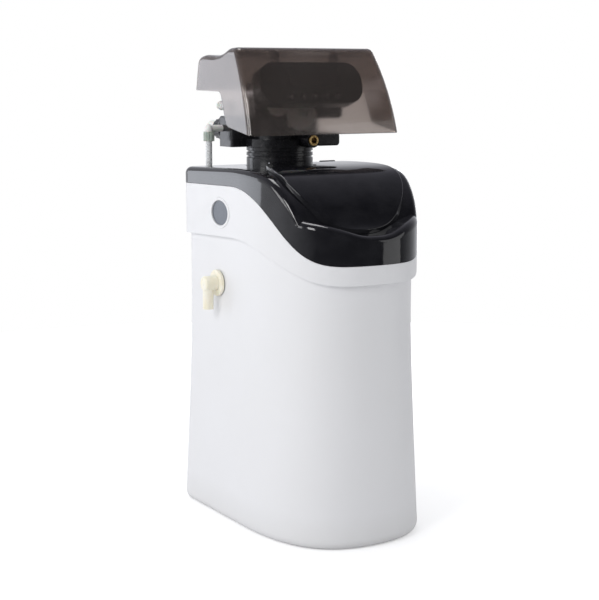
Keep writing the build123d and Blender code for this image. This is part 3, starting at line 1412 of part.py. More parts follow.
button_xs = [button_pitch * (place - (len(button_names) - 1) / 2) for place in range(len(button_names))]
with BuildPart() as faceplate:
    extrude(panel_outline(panel_at(panel_thick), 0), amount=panel_thick)
    fillet(faceplate.faces().sort_by(Axis.Y)[0].edges(), panel_edge_r)
    with BuildSketch(panel_at(panel_thick)):
        with Locations((window_x, window_up)):
            RectangleRounded(window_width, window_height, window_corner_r)
        with Locations(*[(x, button_down) for x in button_xs]):
            Circle(button_r + button_gap)
    extrude(amount=panel_thick, mode=Mode.SUBTRACT)
faceplate.part.label = "faceplate"
export_step(faceplate.part, "parts/faceplate.step")

with BuildPart() as display_lens:
    with BuildSketch(panel_at(panel_thick)):
        with Locations((window_x, window_up)):
            RectangleRounded(window_width - 2 * trim_fit, window_height - 2 * trim_fit,
                             window_corner_r - trim_fit)
    extrude(amount=lens_thick)
display_lens.part.label = "display_lens"
export_step(display_lens.part, "parts/display_lens.step")

with BuildPart() as display_module:
    with BuildSketch(panel_at(board_depth)):
        with Locations((window_x, window_up)):
            Rectangle(module_width, module_height)
    extrude(amount=board_depth - panel_thick - trim_fit)
display_module.part.label = "display_module"
export_step(display_module.part, "parts/display_module.step")

with BuildPart() as circuit_board:
    with BuildSketch(panel_at(board_depth)):
        RectangleRounded(board_width, board_height, board_corner_r)
    extrude(amount=-board_thick)
    for chip_x, chip_up, chip_w, chip_h in board_chips:
        with BuildSketch(panel_at(board_depth + board_thick)):
            with Locations((chip_x, chip_up)):
                Rectangle(chip_w, chip_h)
        extrude(amount=-chip_height)
circuit_board.part.label = "circuit_board"
export_step(circuit_board.part, "parts/circuit_board.step")

for name, x in zip(button_names, button_xs):
    with BuildPart() as button:
        flange_depth = panel_thick + button_gap + button_flange
        extrude(disc(panel_at(flange_depth), (x, button_down), button_flange_r), amount=button_flange)
        extrude(disc(panel_at(flange_depth), (x, button_down), button_r), amount=flange_depth + button_proud)
        fillet(button.edges().group_by(Axis.Y)[0], button_edge_r)
        extrude(disc(panel_at(board_depth - button_travel - button_gap), (x, button_down), button_stem_r),
                amount=board_depth - button_travel - button_gap - flange_depth)
    button.part.label = name
    export_step(button.part, "parts/" + name + ".step")

with BuildPart() as power_jack:
    extrude(disc(panel_at(housing_depth - housing_wall), (jack_x, jack_up), jack_flange_r),
            amount=jack_flange)
    extrude(disc(panel_at(housing_depth - housing_wall), (jack_x, jack_up), jack_r), amount=-jack_length)
    extrude(disc(panel_at(housing_depth - housing_wall + jack_length), (jack_x, jack_up), jack_bore_r),
            amount=jack_bore_depth, mode=Mode.SUBTRACT)
power_jack.part.label = "power_jack"
export_step(power_jack.part, "parts/power_jack.step")

# Smoked valve cover: a bonnet with tapered sides, open below and notched at the rear


def bonnet_side(inset):
    """Side view of the bonnet, from its front foot over the crown to its rear foot."""
    with BuildSketch(side_plane(-span / 2)) as region:
        with BuildLine():
            ThreePointArc((bonnet_front_foot_y, bonnet_foot_z), bonnet_front_middle,
                          (bonnet_crown_y, bonnet_crown_z))
            Polyline((bonnet_crown_y, bonnet_crown_z), *bonnet_top_line, (bonnet_tail_y, bonnet_tail_z),
                     (bonnet_tail_foot_y, bonnet_foot_z), (bonnet_front_foot_y, bonnet_foot_z))
        make_face()
        for corner, corner_r in zip(bonnet_top_line, bonnet_top_rounds):
            fillet(region.vertices().sort_by_distance(corner)[0], corner_r)
        crown = region.vertices().sort_by_distance((bonnet_crown_y, bonnet_crown_z))[0]
        fillet(crown, bonnet_crown_r)
        tail = region.vertices().sort_by_distance((bonnet_tail_y, bonnet_tail_z))[0]
        fillet(tail, bonnet_tail_r)
        if inset:
            offset(amount=-inset, mode=Mode.REPLACE)
    return region.sketch


def bonnet_front(inset):
    """Front view of the bonnet: bowed sides that draw in towards the crown."""
    low, high = bonnet_mid_half
    foot = bonnet_foot_z - bonnet_block_margin
    crown = bonnet_crown_z + bonnet_block_margin
    heights = (foot + (crown - foot) / 3, foot + 2 * (crown - foot) / 3)
    with BuildSketch(front_plane(span / 2)) as region:
        with BuildLine():
            Bezier((bonnet_bottom_half - inset, foot), (low - inset, heights[0]), (high - inset, heights[1]),
                   (bonnet_top_half - inset, crown))
            Line((bonnet_top_half - inset, crown), (inset - bonnet_top_half, crown))
            Bezier((inset - bonnet_top_half, crown), (inset - high, heights[1]), (inset - low, heights[0]),
                   (inset - bonnet_bottom_half, foot))
            Line((inset - bonnet_bottom_half, foot), (bonnet_bottom_half - inset, foot))
        make_face()
    return region.sketch


def bonnet_block(inset, edge_r):
    """The bonnet's outer or inner form down to its foot, with rounded side edges."""
    with BuildPart(mode=Mode.PRIVATE) as block:
        extrude(bonnet_side(inset), amount=span)
        extrude(bonnet_front(inset), amount=span, mode=Mode.INTERSECT)
        sides = block.edges().filter_by(lambda e: abs(e.center().X) > bonnet_top_half - 2 * edge_r
                                        and e.center().Z > bonnet_foot_z + bonnet_block_margin)
        fillet(sides, edge_r)
    return block.part


def panel_point(depth, up):
    """Side-view place (y, z) of a point of the leaning control head."""
    tilt = radians(panel_tilt)
    return (panel_y + up * sin(tilt) + depth * cos(tilt), panel_z + up * cos(tilt) - depth * sin(tilt))


with BuildPart() as valve_cover:
    add(bonnet_block(0, bonnet_side_r))
    add(bonnet_block(bonnet_wall, bonnet_inner_r), mode=Mode.SUBTRACT)
    with BuildSketch(side_plane(-span / 2)) as opening:
        edge_z = bonnet_front_edge_z - bonnet_edge_slope * (span / 2 + bonnet_front_foot_y)
        corner_z = bonnet_front_edge_z + bonnet_edge_slope * (bonnet_notch_low_y - bonnet_front_foot_y)
        with BuildLine():
            Polyline((-span / 2, edge_z), (bonnet_notch_low_y, corner_z),
                     (bonnet_notch_high_y, bonnet_notch_z),
                     (span / 2, bonnet_rear_edge_z), (span / 2, 0), (-span / 2, 0), close=True)
        make_face()
        corners = opening.vertices().filter_by(lambda v: 0 < v.X < span / 4)
        fillet(corners, bonnet_notch_r)
    extrude(amount=span, mode=Mode.SUBTRACT)
    middle_form = bonnet_block(bonnet_wall / 2, (bonnet_side_r + bonnet_inner_r) / 2)
    for side in (-1, 1):
        rest_up = panel_height / 2 + bonnet_rest_gap
        front_low = panel_point(panel_thick, rest_up)
        rear_low = panel_point(housing_depth - housing_edge_r, rest_up)
        with BuildSketch(side_plane(side * bonnet_rest_x - bonnet_rest_width / 2), mode=Mode.PRIVATE) as rib:
            with BuildLine():
                Polyline(front_low, rear_low, (rear_low[0], bonnet_crown_z), (front_low[0], bonnet_crown_z),
                         close=True)
            make_face()
        rib_solid = extrude(rib.sketch, amount=bonnet_rest_width, mode=Mode.PRIVATE)
        add(rib_solid & middle_form)
valve_cover.part.label = "valve_cover"
export_step(valve_cover.part, "parts/valve_cover.step")
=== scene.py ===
"""Looks of the compact water softener: materials, small surface pieces, studio and camera."""

import json
from math import cos, pi, radians, sin

import bpy
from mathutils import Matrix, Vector


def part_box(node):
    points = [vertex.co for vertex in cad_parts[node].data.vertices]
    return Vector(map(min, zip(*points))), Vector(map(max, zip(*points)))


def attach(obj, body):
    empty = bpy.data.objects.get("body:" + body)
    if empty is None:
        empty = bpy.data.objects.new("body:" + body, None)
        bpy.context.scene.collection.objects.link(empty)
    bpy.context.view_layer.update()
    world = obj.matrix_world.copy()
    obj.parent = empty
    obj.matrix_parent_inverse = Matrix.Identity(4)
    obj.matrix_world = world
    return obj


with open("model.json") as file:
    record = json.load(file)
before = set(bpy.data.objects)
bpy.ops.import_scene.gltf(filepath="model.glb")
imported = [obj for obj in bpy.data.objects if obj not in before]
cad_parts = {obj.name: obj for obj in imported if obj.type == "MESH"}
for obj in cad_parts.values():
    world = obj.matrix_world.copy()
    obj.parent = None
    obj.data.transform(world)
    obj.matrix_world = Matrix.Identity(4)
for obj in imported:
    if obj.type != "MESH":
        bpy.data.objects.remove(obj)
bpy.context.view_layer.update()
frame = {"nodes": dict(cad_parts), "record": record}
nodes = frame["nodes"]
scene = bpy.context.scene
scene.view_settings.view_transform = "Standard"

# Camera at the photograph's viewing angle
camera_lens = 84.92
camera_sensor = 36.0
camera_reach = 30.0
camera_place = (-1.09478, -1.76637, 0.65883)
camera_tilt = radians(80.946)
camera_turn = radians(-31.369)
camera_data = bpy.data.cameras.new("camera")
camera_data.lens = camera_lens
camera_data.sensor_width = camera_sensor
camera_data.clip_end = camera_reach
camera = bpy.data.objects.new("camera", camera_data)
camera.location = camera_place
camera.rotation_euler = (camera_tilt, 0.0, camera_turn)
scene.collection.objects.link(camera)
scene.camera = camera


# Node materials

unscaled = (1.0, 1.0, 1.0)
white = (1.0, 1.0, 1.0, 1.0)
noise_roughness = 0.55
noise_low = 0.3
noise_high = 0.7


def add_node(material, kind, **settings):
    """A shader node, its sockets and properties set by name."""
    made = material.node_tree.nodes.new(kind)
    for name, value in settings.items():
        socket = made.inputs.get(name.replace("_", " "))
        if socket is not None:
            socket.default_value = value
        else:
            setattr(made, name, value)
    return made


def join(material, source, target):
    material.node_tree.links.new(source, target)


def plastic(name, colour, roughness, **sockets):
    """A new material on one Principled shader."""
    made = bpy.data.materials.new(name)
    made.use_nodes = True
    shader = made.node_tree.nodes["Principled BSDF"]
    shader.inputs["Base Color"].default_value = (*colour, 1.0)
    shader.inputs["Roughness"].default_value = roughness
    for socket, value in sockets.items():
        shader.inputs[socket.replace("_", " ")].default_value = value
    return made


def place(material, stretch=unscaled):
    """The object's own coordinates, scaled along each axis."""
    where = add_node(material, "ShaderNodeTexCoord")
    scale = add_node(material, "ShaderNodeMapping")
    scale.inputs["Scale"].default_value = stretch
    join(material, where.outputs["Object"], scale.inputs["Vector"])
    return scale.outputs["Vector"]


def noise(material, scale, detail=3.0, stretch=unscaled):
    made = add_node(material, "ShaderNodeTexNoise", Scale=scale, Detail=detail,
                    Roughness=noise_roughness)
    join(material, place(material, stretch), made.inputs["Vector"])
    return made.outputs["Fac"]


def cells(material, scale, feature="F1", output="Distance"):
    made = add_node(material, "ShaderNodeTexVoronoi", feature=feature, Scale=scale)
    join(material, place(material), made.inputs["Vector"])
    return made.outputs[output]


def cell_shades(material, scale):
    """One random grey for each cell."""
    grey = add_node(material, "ShaderNodeRGBToBW")
    join(material, cells(material, scale, output="Color"), grey.inputs["Color"])
    return grey.outputs["Val"]


def from_middle(material, node, along, stretch=unscaled):
    """Coordinates from a node's middle line, which runs along axis 0, 1 or 2."""
    low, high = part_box(node)
    middle = [0.0 if i == along else (low[i] + high[i]) / 2 for i in range(3)]
    shift = add_node(material, "ShaderNodeVectorMath", operation="SUBTRACT")
    shift.inputs[1].default_value = middle
    join(material, place(material, stretch), shift.inputs[0])
    return shift.outputs["Vector"]


def spread(material, value, low, high, new_low, new_high):
    """A value remapped from one range to another, held at both ends."""
    made = add_node(material, "ShaderNodeMapRange")
    ends = {"From Min": low, "From Max": high, "To Min": new_low, "To Max": new_high}
    for socket, number in ends.items():
        made.inputs[socket].default_value = number
    join(material, value, made.inputs["Value"])
    return made.outputs["Result"]


def math(material, operation, first, second=None):
    made = add_node(material, "ShaderNodeMath", operation=operation)
    for socket, value in zip(made.inputs, (first, second)):
        if isinstance(value, (int, float)):
            socket.default_value = value
        elif value is not None:
            join(material, value, socket)
    return made.outputs[0]


def tint(material, value, dark, light, low=0.35, high=0.65):
    """Base colour between two shades along a value."""
    ramp = add_node(material, "ShaderNodeValToRGB")
    ramp.color_ramp.elements[0].position = low
    ramp.color_ramp.elements[0].color = (*dark, 1.0)
    ramp.color_ramp.elements[1].position = high
    ramp.color_ramp.elements[1].color = (*light, 1.0)
    join(material, value, ramp.inputs["Fac"])
    join(material, ramp.outputs["Color"],
         material.node_tree.nodes["Principled BSDF"].inputs["Base Color"])


def matt(material, value, low, high):
    """Roughness that wanders between two values."""
    join(material, spread(material, value, noise_low, noise_high, low, high),
         material.node_tree.nodes["Principled BSDF"].inputs["Roughness"])


def relief(material, value, depth, strength=1.0):
    """Adds a bump of a depth in metres over those the material already has."""
    shader = material.node_tree.nodes["Principled BSDF"]
    made = add_node(material, "ShaderNodeBump", Strength=strength, Distance=depth)
    join(material, value, made.inputs["Height"])
    if shader.inputs["Normal"].is_linked:
        join(material, shader.inputs["Normal"].links[0].from_socket, made.inputs["Normal"])
    join(material, made.outputs["Normal"], shader.inputs["Normal"])


def height_above_floor(material):
    parts = add_node(material, "ShaderNodeSeparateXYZ")
    join(material, place(material), parts.inputs["Vector"])
    return parts.outputs["Z"]


def make_white_shell():
    """Satin white shell: fine moulded grain, slow waves of the wall, a little darker low on the foot."""
    made = plastic("white_shell", (0.80, 0.80, 0.81), 0.42, Specular_IOR_Level=0.45)
    # Colour darker and warmer over the lowest five centimetres, fading out upwards, on top of random
    # patches
    darker_near_floor = spread(made, height_above_floor(made), 0.0, 0.05, 0.12, 0.0)
    patches = math(made, "ADD", darker_near_floor, math(made, "MULTIPLY", noise(made, 7.0, 4.0), 0.1))
    tint(made, patches, (0.80, 0.80, 0.815), (0.71, 0.705, 0.70), 0.03, 0.24)
    matt(made, noise(made, 60.0), 0.36, 0.48)
    relief(made, noise(made, 4.0, 1.0), 0.0012, 0.25)
    relief(made, noise(made, 1400.0, 2.0), 0.00006, 0.35)
    return made


def make_gloss_black():
    """Piano black moulding: long faint waves, hairline swirls and a little dust haze."""
    made = plastic("gloss_black", (0.009, 0.009, 0.011), 0.07, IOR=1.5, Coat_Weight=0.35,
                   Coat_Roughness=0.03)
    tint(made, noise(made, 38.0, 6.0), (0.007, 0.007, 0.009), (0.013, 0.013, 0.0155))
    swirls = noise(made, 90.0, 5.0, (1.0, 6.0, 1.0))
    matt(made, swirls, 0.05, 0.11)
    relief(made, noise(made, 9.0, 1.5), 0.0009, 0.12)
    return made


def make_smoked_cover():
    """Smoked clear moulding, brown-grey through its wall, slightly hazy under a polished skin."""
    made = plastic("smoked_cover", (0.30, 0.255, 0.235), 0.07, IOR=1.5, Transmission_Weight=0.9,
                   Coat_Weight=0.5, Coat_Roughness=0.025)
    depth = noise(made, 6.0, 2.0)
    tint(made, depth, (0.27, 0.225, 0.205), (0.33, 0.285, 0.265))
    matt(made, noise(made, 120.0, 4.0, (1.0, 1.0, 3.0)), 0.12, 0.18)
    relief(made, noise(made, 7.0, 1.0), 0.0008, 0.1)
    return made


def make_badge_dark():
    """Plain dark plate with a metallic paint."""
    made = plastic("badge_dark", (0.06, 0.07, 0.09), 0.36, Metallic=0.1, Coat_Weight=0.2,
                   Coat_Roughness=0.15)
    tint(made, cell_shades(made, 2600.0), (0.045, 0.055, 0.075), (0.11, 0.125, 0.15), 0.1, 0.95)
    relief(made, noise(made, 900.0), 0.00004, 0.5)
    return made


def make_ivory():
    """Ivory moulding with soft gloss, light passing a little under its skin."""
    made = plastic("ivory", (0.86, 0.80, 0.62), 0.3, Subsurface_Weight=0.15, Subsurface_Scale=0.002)
    made.node_tree.nodes["Principled BSDF"].inputs["Subsurface Radius"].default_value = (1.0, 0.8, 0.5)
    tint(made, noise(made, 55.0, 4.0), (0.87, 0.82, 0.65), (0.91, 0.88, 0.76))
    matt(made, noise(made, 240.0), 0.25, 0.4)
    relief(made, noise(made, 700.0), 0.00006, 0.5)
    return made


def make_rubber():
    """Matt black rubber with a dry bloom."""
    made = plastic("rubber", (0.02, 0.02, 0.02), 0.8)
    tint(made, noise(made, 260.0, 5.0), (0.014, 0.014, 0.014), (0.045, 0.044, 0.042))
    matt(made, noise(made, 500.0), 0.65, 0.9)
    relief(made, noise(made, 1500.0, 4.0), 0.00008, 0.6)
    return made


def make_vessel_wrap():
    """Wound glass fibre under resin: two crossing helices of rovings round the vessel's axis."""
    made = plastic("vessel_wrap", (0.05, 0.09, 0.15), 0.25, Coat_Weight=0.6, Coat_Roughness=0.15)
    rovings_per_metre = 620.0
    rovings_round = 26.0
    parts = add_node(made, "ShaderNodeSeparateXYZ")
    join(made, from_middle(made, "vessel", 2), parts.inputs["Vector"])
    angle = math(made, "ARCTAN2", parts.outputs["Y"], parts.outputs["X"])
    rise = math(made, "MULTIPLY", parts.outputs["Z"], rovings_per_metre)
    waves = []
    for hand in (rovings_round, -rovings_round):
        phase = math(made, "ADD", rise, math(made, "MULTIPLY", angle, hand))
        waves.append(math(made, "SINE", phase))
    weave = math(made, "MAXIMUM", *waves)
    tint(made, weave, (0.028, 0.055, 0.10), (0.11, 0.17, 0.25), 0.2, 0.95)
    matt(made, noise(made, 150.0), 0.18, 0.4)
    relief(made, weave, 0.00025, 0.7)
    relief(made, noise(made, 900.0, 3.0), 0.00005, 0.4)
    return made


def make_black_moulded():
    """Black glass-filled plastic with a fine spark-eroded grain and paler rubbed spots."""
    made = plastic("black_moulded", (0.02, 0.02, 0.023), 0.38)
    tint(made, noise(made, 130.0, 6.0), (0.009, 0.009, 0.011), (0.019, 0.019, 0.022), 0.3, 0.8)
    matt(made, noise(made, 210.0, 4.0), 0.14, 0.28)
    relief(made, noise(made, 1300.0, 2.0), 0.00004, 0.3)
    return made


def make_resin():
    """Amber resin beads, about a millimetre each."""
    made = plastic("resin", (0.6, 0.36, 0.12), 0.25, Subsurface_Weight=0.3, Subsurface_Scale=0.001)
    beads_per_metre = 900.0
    tint(made, cell_shades(made, beads_per_metre), (0.42, 0.2, 0.05), (0.78, 0.52, 0.2), 0.1, 0.9)
    relief(made, spread(made, cells(made, beads_per_metre), 0.0, 0.7, 1.0, 0.0), 0.0006, 0.9)
    return made


def make_white_moulded():
    """White acetal: a waxy sheen and faint flow lines."""
    made = plastic("white_moulded", (0.82, 0.82, 0.79), 0.36, Subsurface_Weight=0.12,
                   Subsurface_Scale=0.0015)
    tint(made, noise(made, 45.0, 5.0, (1.0, 1.0, 4.0)), (0.76, 0.76, 0.72), (0.86, 0.86, 0.84))
    matt(made, noise(made, 260.0), 0.28, 0.46)
    relief(made, noise(made, 1000.0), 0.00005, 0.5)
    return made


def make_grey_moulded():
    """Grey pipe-grade plastic, drawn lengthways."""
    made = plastic("grey_moulded", (0.42, 0.43, 0.44), 0.42)
    drawn = noise(made, 220.0, 4.0, (1.0, 1.0, 0.05))
    tint(made, drawn, (0.37, 0.38, 0.39), (0.47, 0.48, 0.49))
    matt(made, noise(made, 180.0), 0.34, 0.52)
    relief(made, drawn, 0.00006, 0.5)
    return made


def make_float_foam():
    """Closed-cell foam with its fused beads."""
    made = plastic("float_foam", (0.84, 0.83, 0.79), 0.7)
    seams = spread(made, cells(made, 300.0, "DISTANCE_TO_EDGE"), 0.0, 0.12, 0.0, 1.0)
    tint(made, seams, (0.66, 0.65, 0.6), (0.86, 0.855, 0.82), 0.1, 0.9)
    relief(made, seams, 0.0003, 0.8)
    return made


def make_milky_tube():
    """Milky tube, clouded and slightly see-through."""
    made = plastic("milky_tube", (0.93, 0.95, 0.955), 0.3, Transmission_Weight=0.4, IOR=1.35)
    tint(made, noise(made, 120.0, 4.0), (0.90, 0.92, 0.93), (0.97, 0.975, 0.98))
    matt(made, noise(made, 300.0), 0.22, 0.4)
    relief(made, noise(made, 500.0, 2.0), 0.00003, 0.2)
    return made


def make_clear_clip():
    """Clear hard plastic with fine flow marks."""
    made = plastic("clear_clip", (0.90, 0.92, 0.93), 0.06, Transmission_Weight=0.9, IOR=1.55)
    tint(made, noise(made, 80.0, 3.0), (0.86, 0.89, 0.91), (0.95, 0.96, 0.97))
    matt(made, noise(made, 200.0), 0.04, 0.14)
    relief(made, noise(made, 160.0, 2.0), 0.0001, 0.3)
    return made


def make_brass():
    """Turned brass gone brown in its hollows."""
    made = plastic("brass", (0.72, 0.50, 0.22), 0.28, Metallic=1.0)
    ring_rate = 26000.0
    clean_radius = 0.003
    stained_radius = 0.0062
    out = add_node(made, "ShaderNodeVectorMath", operation="LENGTH")
    join(made, from_middle(made, "brass_plug", 1, (1.0, 0.0, 1.0)), out.inputs[0])
    rings = math(made, "SINE", math(made, "MULTIPLY", out.outputs["Value"], ring_rate))
    stain = math(made, "ADD", noise(made, 380.0, 6.0),
                 spread(made, out.outputs["Value"], clean_radius, stained_radius, 0.0, 0.22))
    tint(made, stain, (0.16, 0.085, 0.03), (0.78, 0.55, 0.24), 0.5, 0.74)
    matt(made, noise(made, 500.0), 0.2, 0.45)
    relief(made, rings, 0.00003, 0.4)
    return made


def make_steel():
    """Bright-drawn steel with fine lengthways lines."""
    made = plastic("steel", (0.62, 0.62, 0.63), 0.28, Metallic=1.0)
    drawn = noise(made, 900.0, 3.0, (1.0, 0.05, 1.0))
    tint(made, drawn, (0.5, 0.5, 0.52), (0.7, 0.7, 0.71))
    matt(made, noise(made, 420.0, 4.0), 0.2, 0.42)
    relief(made, drawn, 0.00003, 0.4)
    return made


def make_green_nut():
    """Pale green translucent nut."""
    made = plastic("green_nut", (0.55, 0.66, 0.56), 0.2, Transmission_Weight=0.6, IOR=1.5)
    tint(made, noise(made, 140.0, 4.0), (0.62, 0.72, 0.64), (0.80, 0.86, 0.80))
    matt(made, noise(made, 300.0), 0.14, 0.3)
    relief(made, noise(made, 600.0), 0.00006, 0.5)
    return made


def make_faceplate_black():
    """Near-black front with a fine satin texture and a faint coat."""
    made = plastic("faceplate_black", (0.011, 0.012, 0.016), 0.33, Coat_Weight=0.1, Coat_Roughness=0.2)
    tint(made, noise(made, 900.0, 3.0), (0.008, 0.009, 0.013), (0.017, 0.018, 0.023))
    matt(made, noise(made, 260.0), 0.26, 0.42)
    relief(made, cells(made, 1500.0), 0.00005, 0.5)
    return made


def make_window():
    """Tinted hard-coated lens."""
    made = plastic("window", (0.32, 0.34, 0.37), 0.03, Transmission_Weight=0.8, IOR=1.49)
    tint(made, noise(made, 30.0, 2.0), (0.28, 0.30, 0.33), (0.36, 0.38, 0.41))
    matt(made, noise(made, 300.0, 4.0), 0.02, 0.07)
    relief(made, noise(made, 20.0, 1.0), 0.0002, 0.08)
    return made


def make_display():
    """Unlit grey liquid crystal behind its glass."""
    made = plastic("display", (0.17, 0.19, 0.20), 0.25, Coat_Weight=0.5, Coat_Roughness=0.05)
    tint(made, noise(made, 26.0, 3.0), (0.15, 0.17, 0.18), (0.20, 0.22, 0.23))
    matt(made, noise(made, 500.0), 0.2, 0.32)
    relief(made, cells(made, 2400.0), 0.00002, 0.4)
    return made


def make_board():
    """Green solder mask over raised tracks, its chips darker."""
    made = plastic("board", (0.02, 0.12, 0.06), 0.3, Coat_Weight=0.3, Coat_Roughness=0.2)
    tracks = add_node(made, "ShaderNodeTexBrick", Scale=1.0, Mortar_Size=0.0006, Brick_Width=0.011,
                      Row_Height=0.0035)
    join(made, place(made), tracks.inputs["Vector"])
    tint(made, tracks.outputs["Fac"], (0.012, 0.085, 0.04), (0.035, 0.19, 0.09), 0.2, 0.8)
    matt(made, noise(made, 400.0), 0.22, 0.42)
    relief(made, tracks.outputs["Fac"], 0.00006, 0.6)
    return made


def make_button_grey():
    """Soft grey keys with a fine matt skin."""
    made = plastic("button_grey", (0.17, 0.17, 0.19), 0.55)
    tint(made, noise(made, 300.0, 4.0), (0.13, 0.13, 0.15), (0.21, 0.21, 0.23))
    matt(made, noise(made, 700.0), 0.45, 0.65)
    relief(made, noise(made, 1800.0), 0.00005, 0.5)
    return made


makers = {
    "white_shell": make_white_shell, "badge_dark": make_badge_dark, "gloss_black": make_gloss_black,
    "ivory": make_ivory, "rubber": make_rubber, "vessel_wrap": make_vessel_wrap,
    "black_moulded": make_black_moulded, "resin": make_resin, "white_moulded": make_white_moulded,
    "grey_moulded": make_grey_moulded, "float_foam": make_float_foam, "milky_tube": make_milky_tube,
    "clear_clip": make_clear_clip, "brass": make_brass, "steel": make_steel, "green_nut": make_green_nut,
    "faceplate_black": make_faceplate_black, "window": make_window, "display": make_display,
    "board": make_board, "button_grey": make_button_grey, "smoked_cover": make_smoked_cover,
}
finishes = {slot: make() for slot, make in makers.items()}
slot_of = {piece["node"]: piece["material_slot"] for piece in frame["record"]["subparts"]}
for name, slot in slot_of.items():
    mesh = nodes[name].data
    mesh.materials.clear()
    mesh.materials.append(finishes[slot])


# Small pieces on the leaning panel: key marks and the display's unlit segments

tilt = radians(20.0)
panel_middle = Vector((0.0, -0.006, 0.647))
panel_out = Vector((0.0, -cos(tilt), sin(tilt)))
panel_up = Vector((0.0, sin(tilt), cos(tilt)))
panel_right = Vector((1.0, 0.0, 0.0))


def on_panel(outline, height, thickness):
    """Points of a thin prism on the panel: an outline (right, up) between two heights over the face."""
    rings = []
    for level in (height, height + thickness):
        rings.append([panel_middle + panel_right * right + panel_up * up + panel_out * level
                      for right, up in outline])
    return rings


def prisms(name, body, outlines, height, thickness, material):
    """One mesh of thin prisms standing on the panel."""
    points = []
    faces = []
    for outline in outlines:
        start = len(points)
        count = len(outline)
        low, high = on_panel(outline, height, thickness)
        points += low + high
        faces.append([start + i for i in reversed(range(count))])
        faces.append([start + count + i for i in range(count)])
        for i in range(count):
            after = (i + 1) % count
            faces.append([start + i, start + after, start + count + after, start + count + i])
    mesh = bpy.data.meshes.new(name)
    mesh.from_pydata(points, [], faces)
    mesh.materials.append(material)
    made = bpy.data.objects.new(name, mesh)
    scene.collection.objects.link(made)
    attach(made, body)
    return made


def face_height(name):
    """How far a node's front stands over the panel's face."""
    return max((Vector(v.co) - panel_middle).dot(panel_out) for v in nodes[name].data.vertices)


def turned(outline, angle, centre):
    """An outline turned about the origin, then moved to a centre."""
    return [(centre[0] + x * cos(angle) - y * sin(angle), centre[1] + x * sin(angle) + y * cos(angle))
            for x, y in outline]


def bar(length, width):
    return [(-length / 2, -width / 2), (length / 2, -width / 2), (length / 2, width / 2),
            (-length / 2, width / 2)]


def arrow(size):
    return [(-size, -0.6 * size), (size, -0.6 * size), (0.0, 0.9 * size)]


def ring_part(radius, width, begin, end, steps=18):
    """An arc band from one angle to another."""
    angles = [begin + (end - begin) * i / steps for i in range(steps + 1)]
    outer = [((radius + width / 2) * cos(a), (radius + width / 2) * sin(a)) for a in angles]
    inner = [((radius - width / 2) * cos(a), (radius - width / 2) * sin(a)) for a in reversed(angles)]
    return outer + inner


def make_key_print():
    """Pale grey print, slightly worn."""
    made = plastic("key_print", (0.82, 0.82, 0.84), 0.5)
    tint(made, noise(made, 1200.0, 4.0), (0.74, 0.74, 0.76), (0.88, 0.88, 0.90))
    relief(made, noise(made, 2500.0), 0.00002, 0.4)
    return made


def make_segment():
    """Unlit liquid crystal segment, a shade darker than its field."""
    made = plastic("segment", (0.035, 0.04, 0.04), 0.3)
    tint(made, noise(made, 700.0, 3.0), (0.028, 0.032, 0.032), (0.045, 0.05, 0.05))
    return made


key_print = make_key_print()
segment_dark = make_segment()
key_up = -0.021
print_sink = 0.00002
print_thick = 0.00005
key_marks = {
    "menu_button": (-0.040, [turned(bar(0.0042, 0.0006), 0.0, (0.0, shift)) for shift in
                             (-0.0014, 0.0, 0.0014)]),
    "down_button": (-0.020, [turned(arrow(0.0021), pi, (0.0, 0.0))]),
    "up_button": (0.0, [turned(arrow(0.0021), 0.0, (0.0, 0.0))]),
    "set_button": (0.020, [ring_part(0.0018, 0.0007, 0.0, pi), ring_part(0.0018, 0.0007, pi, 2 * pi)]),
    "regenerate_button": (0.040, [ring_part(0.0019, 0.0006, 0.5, 5.2),
                                  turned(arrow(0.0009), -0.4, (0.00175, 0.0011))]),
}
for key, (right, marks) in key_marks.items():
    outlines = [[(right + x, key_up + y) for x, y in mark] for mark in marks]
    print_piece = prisms(key + "_mark", key, outlines, face_height(key) - print_sink, print_thick,
                         key_print)

segment_long = 0.0056
segment_wide = 0.0011
segment_space = 0.0005
segment_lift = 0.00003
segment_thick = 0.00005
colon_back = 0.003
colon_half = 0.0025
colon_dot = 0.0012
digit_places = (-0.0225, -0.0105, 0.0045, 0.0165)
display_middle = (0.004, 0.0095)


def segment(long, wide):
    """A six-sided segment along the first axis."""
    half = long / 2
    tip = wide / 2
    return [(-half, 0.0), (-half + tip, -tip), (half - tip, -tip), (half, 0.0), (half - tip, tip),
            (-half + tip, tip)]


segment_shapes = []
one_segment = segment(segment_long, segment_wide)
gap = segment_long + segment_space
for digit_x in digit_places:
    centre = (display_middle[0] + digit_x, display_middle[1])
    for level in (-gap, 0.0, gap):
        segment_shapes.append(turned(one_segment, 0.0, (centre[0], centre[1] + level)))
    for side in (-gap / 2, gap / 2):
        for level in (-gap / 2, gap / 2):
            segment_shapes.append(turned(one_segment, pi / 2, (centre[0] + side, centre[1] + level)))
for level in (-colon_half, colon_half):
    segment_shapes.append(turned(bar(colon_dot, colon_dot), 0.0,
                                 (display_middle[0] - colon_back, display_middle[1] + level)))
segments = prisms("display_segments", "root", segment_shapes,
                  face_height("display_module") + segment_lift, segment_thick, segment_dark)


# Studio: a pale floor whose glow, seen by the camera only, grows with distance from the object

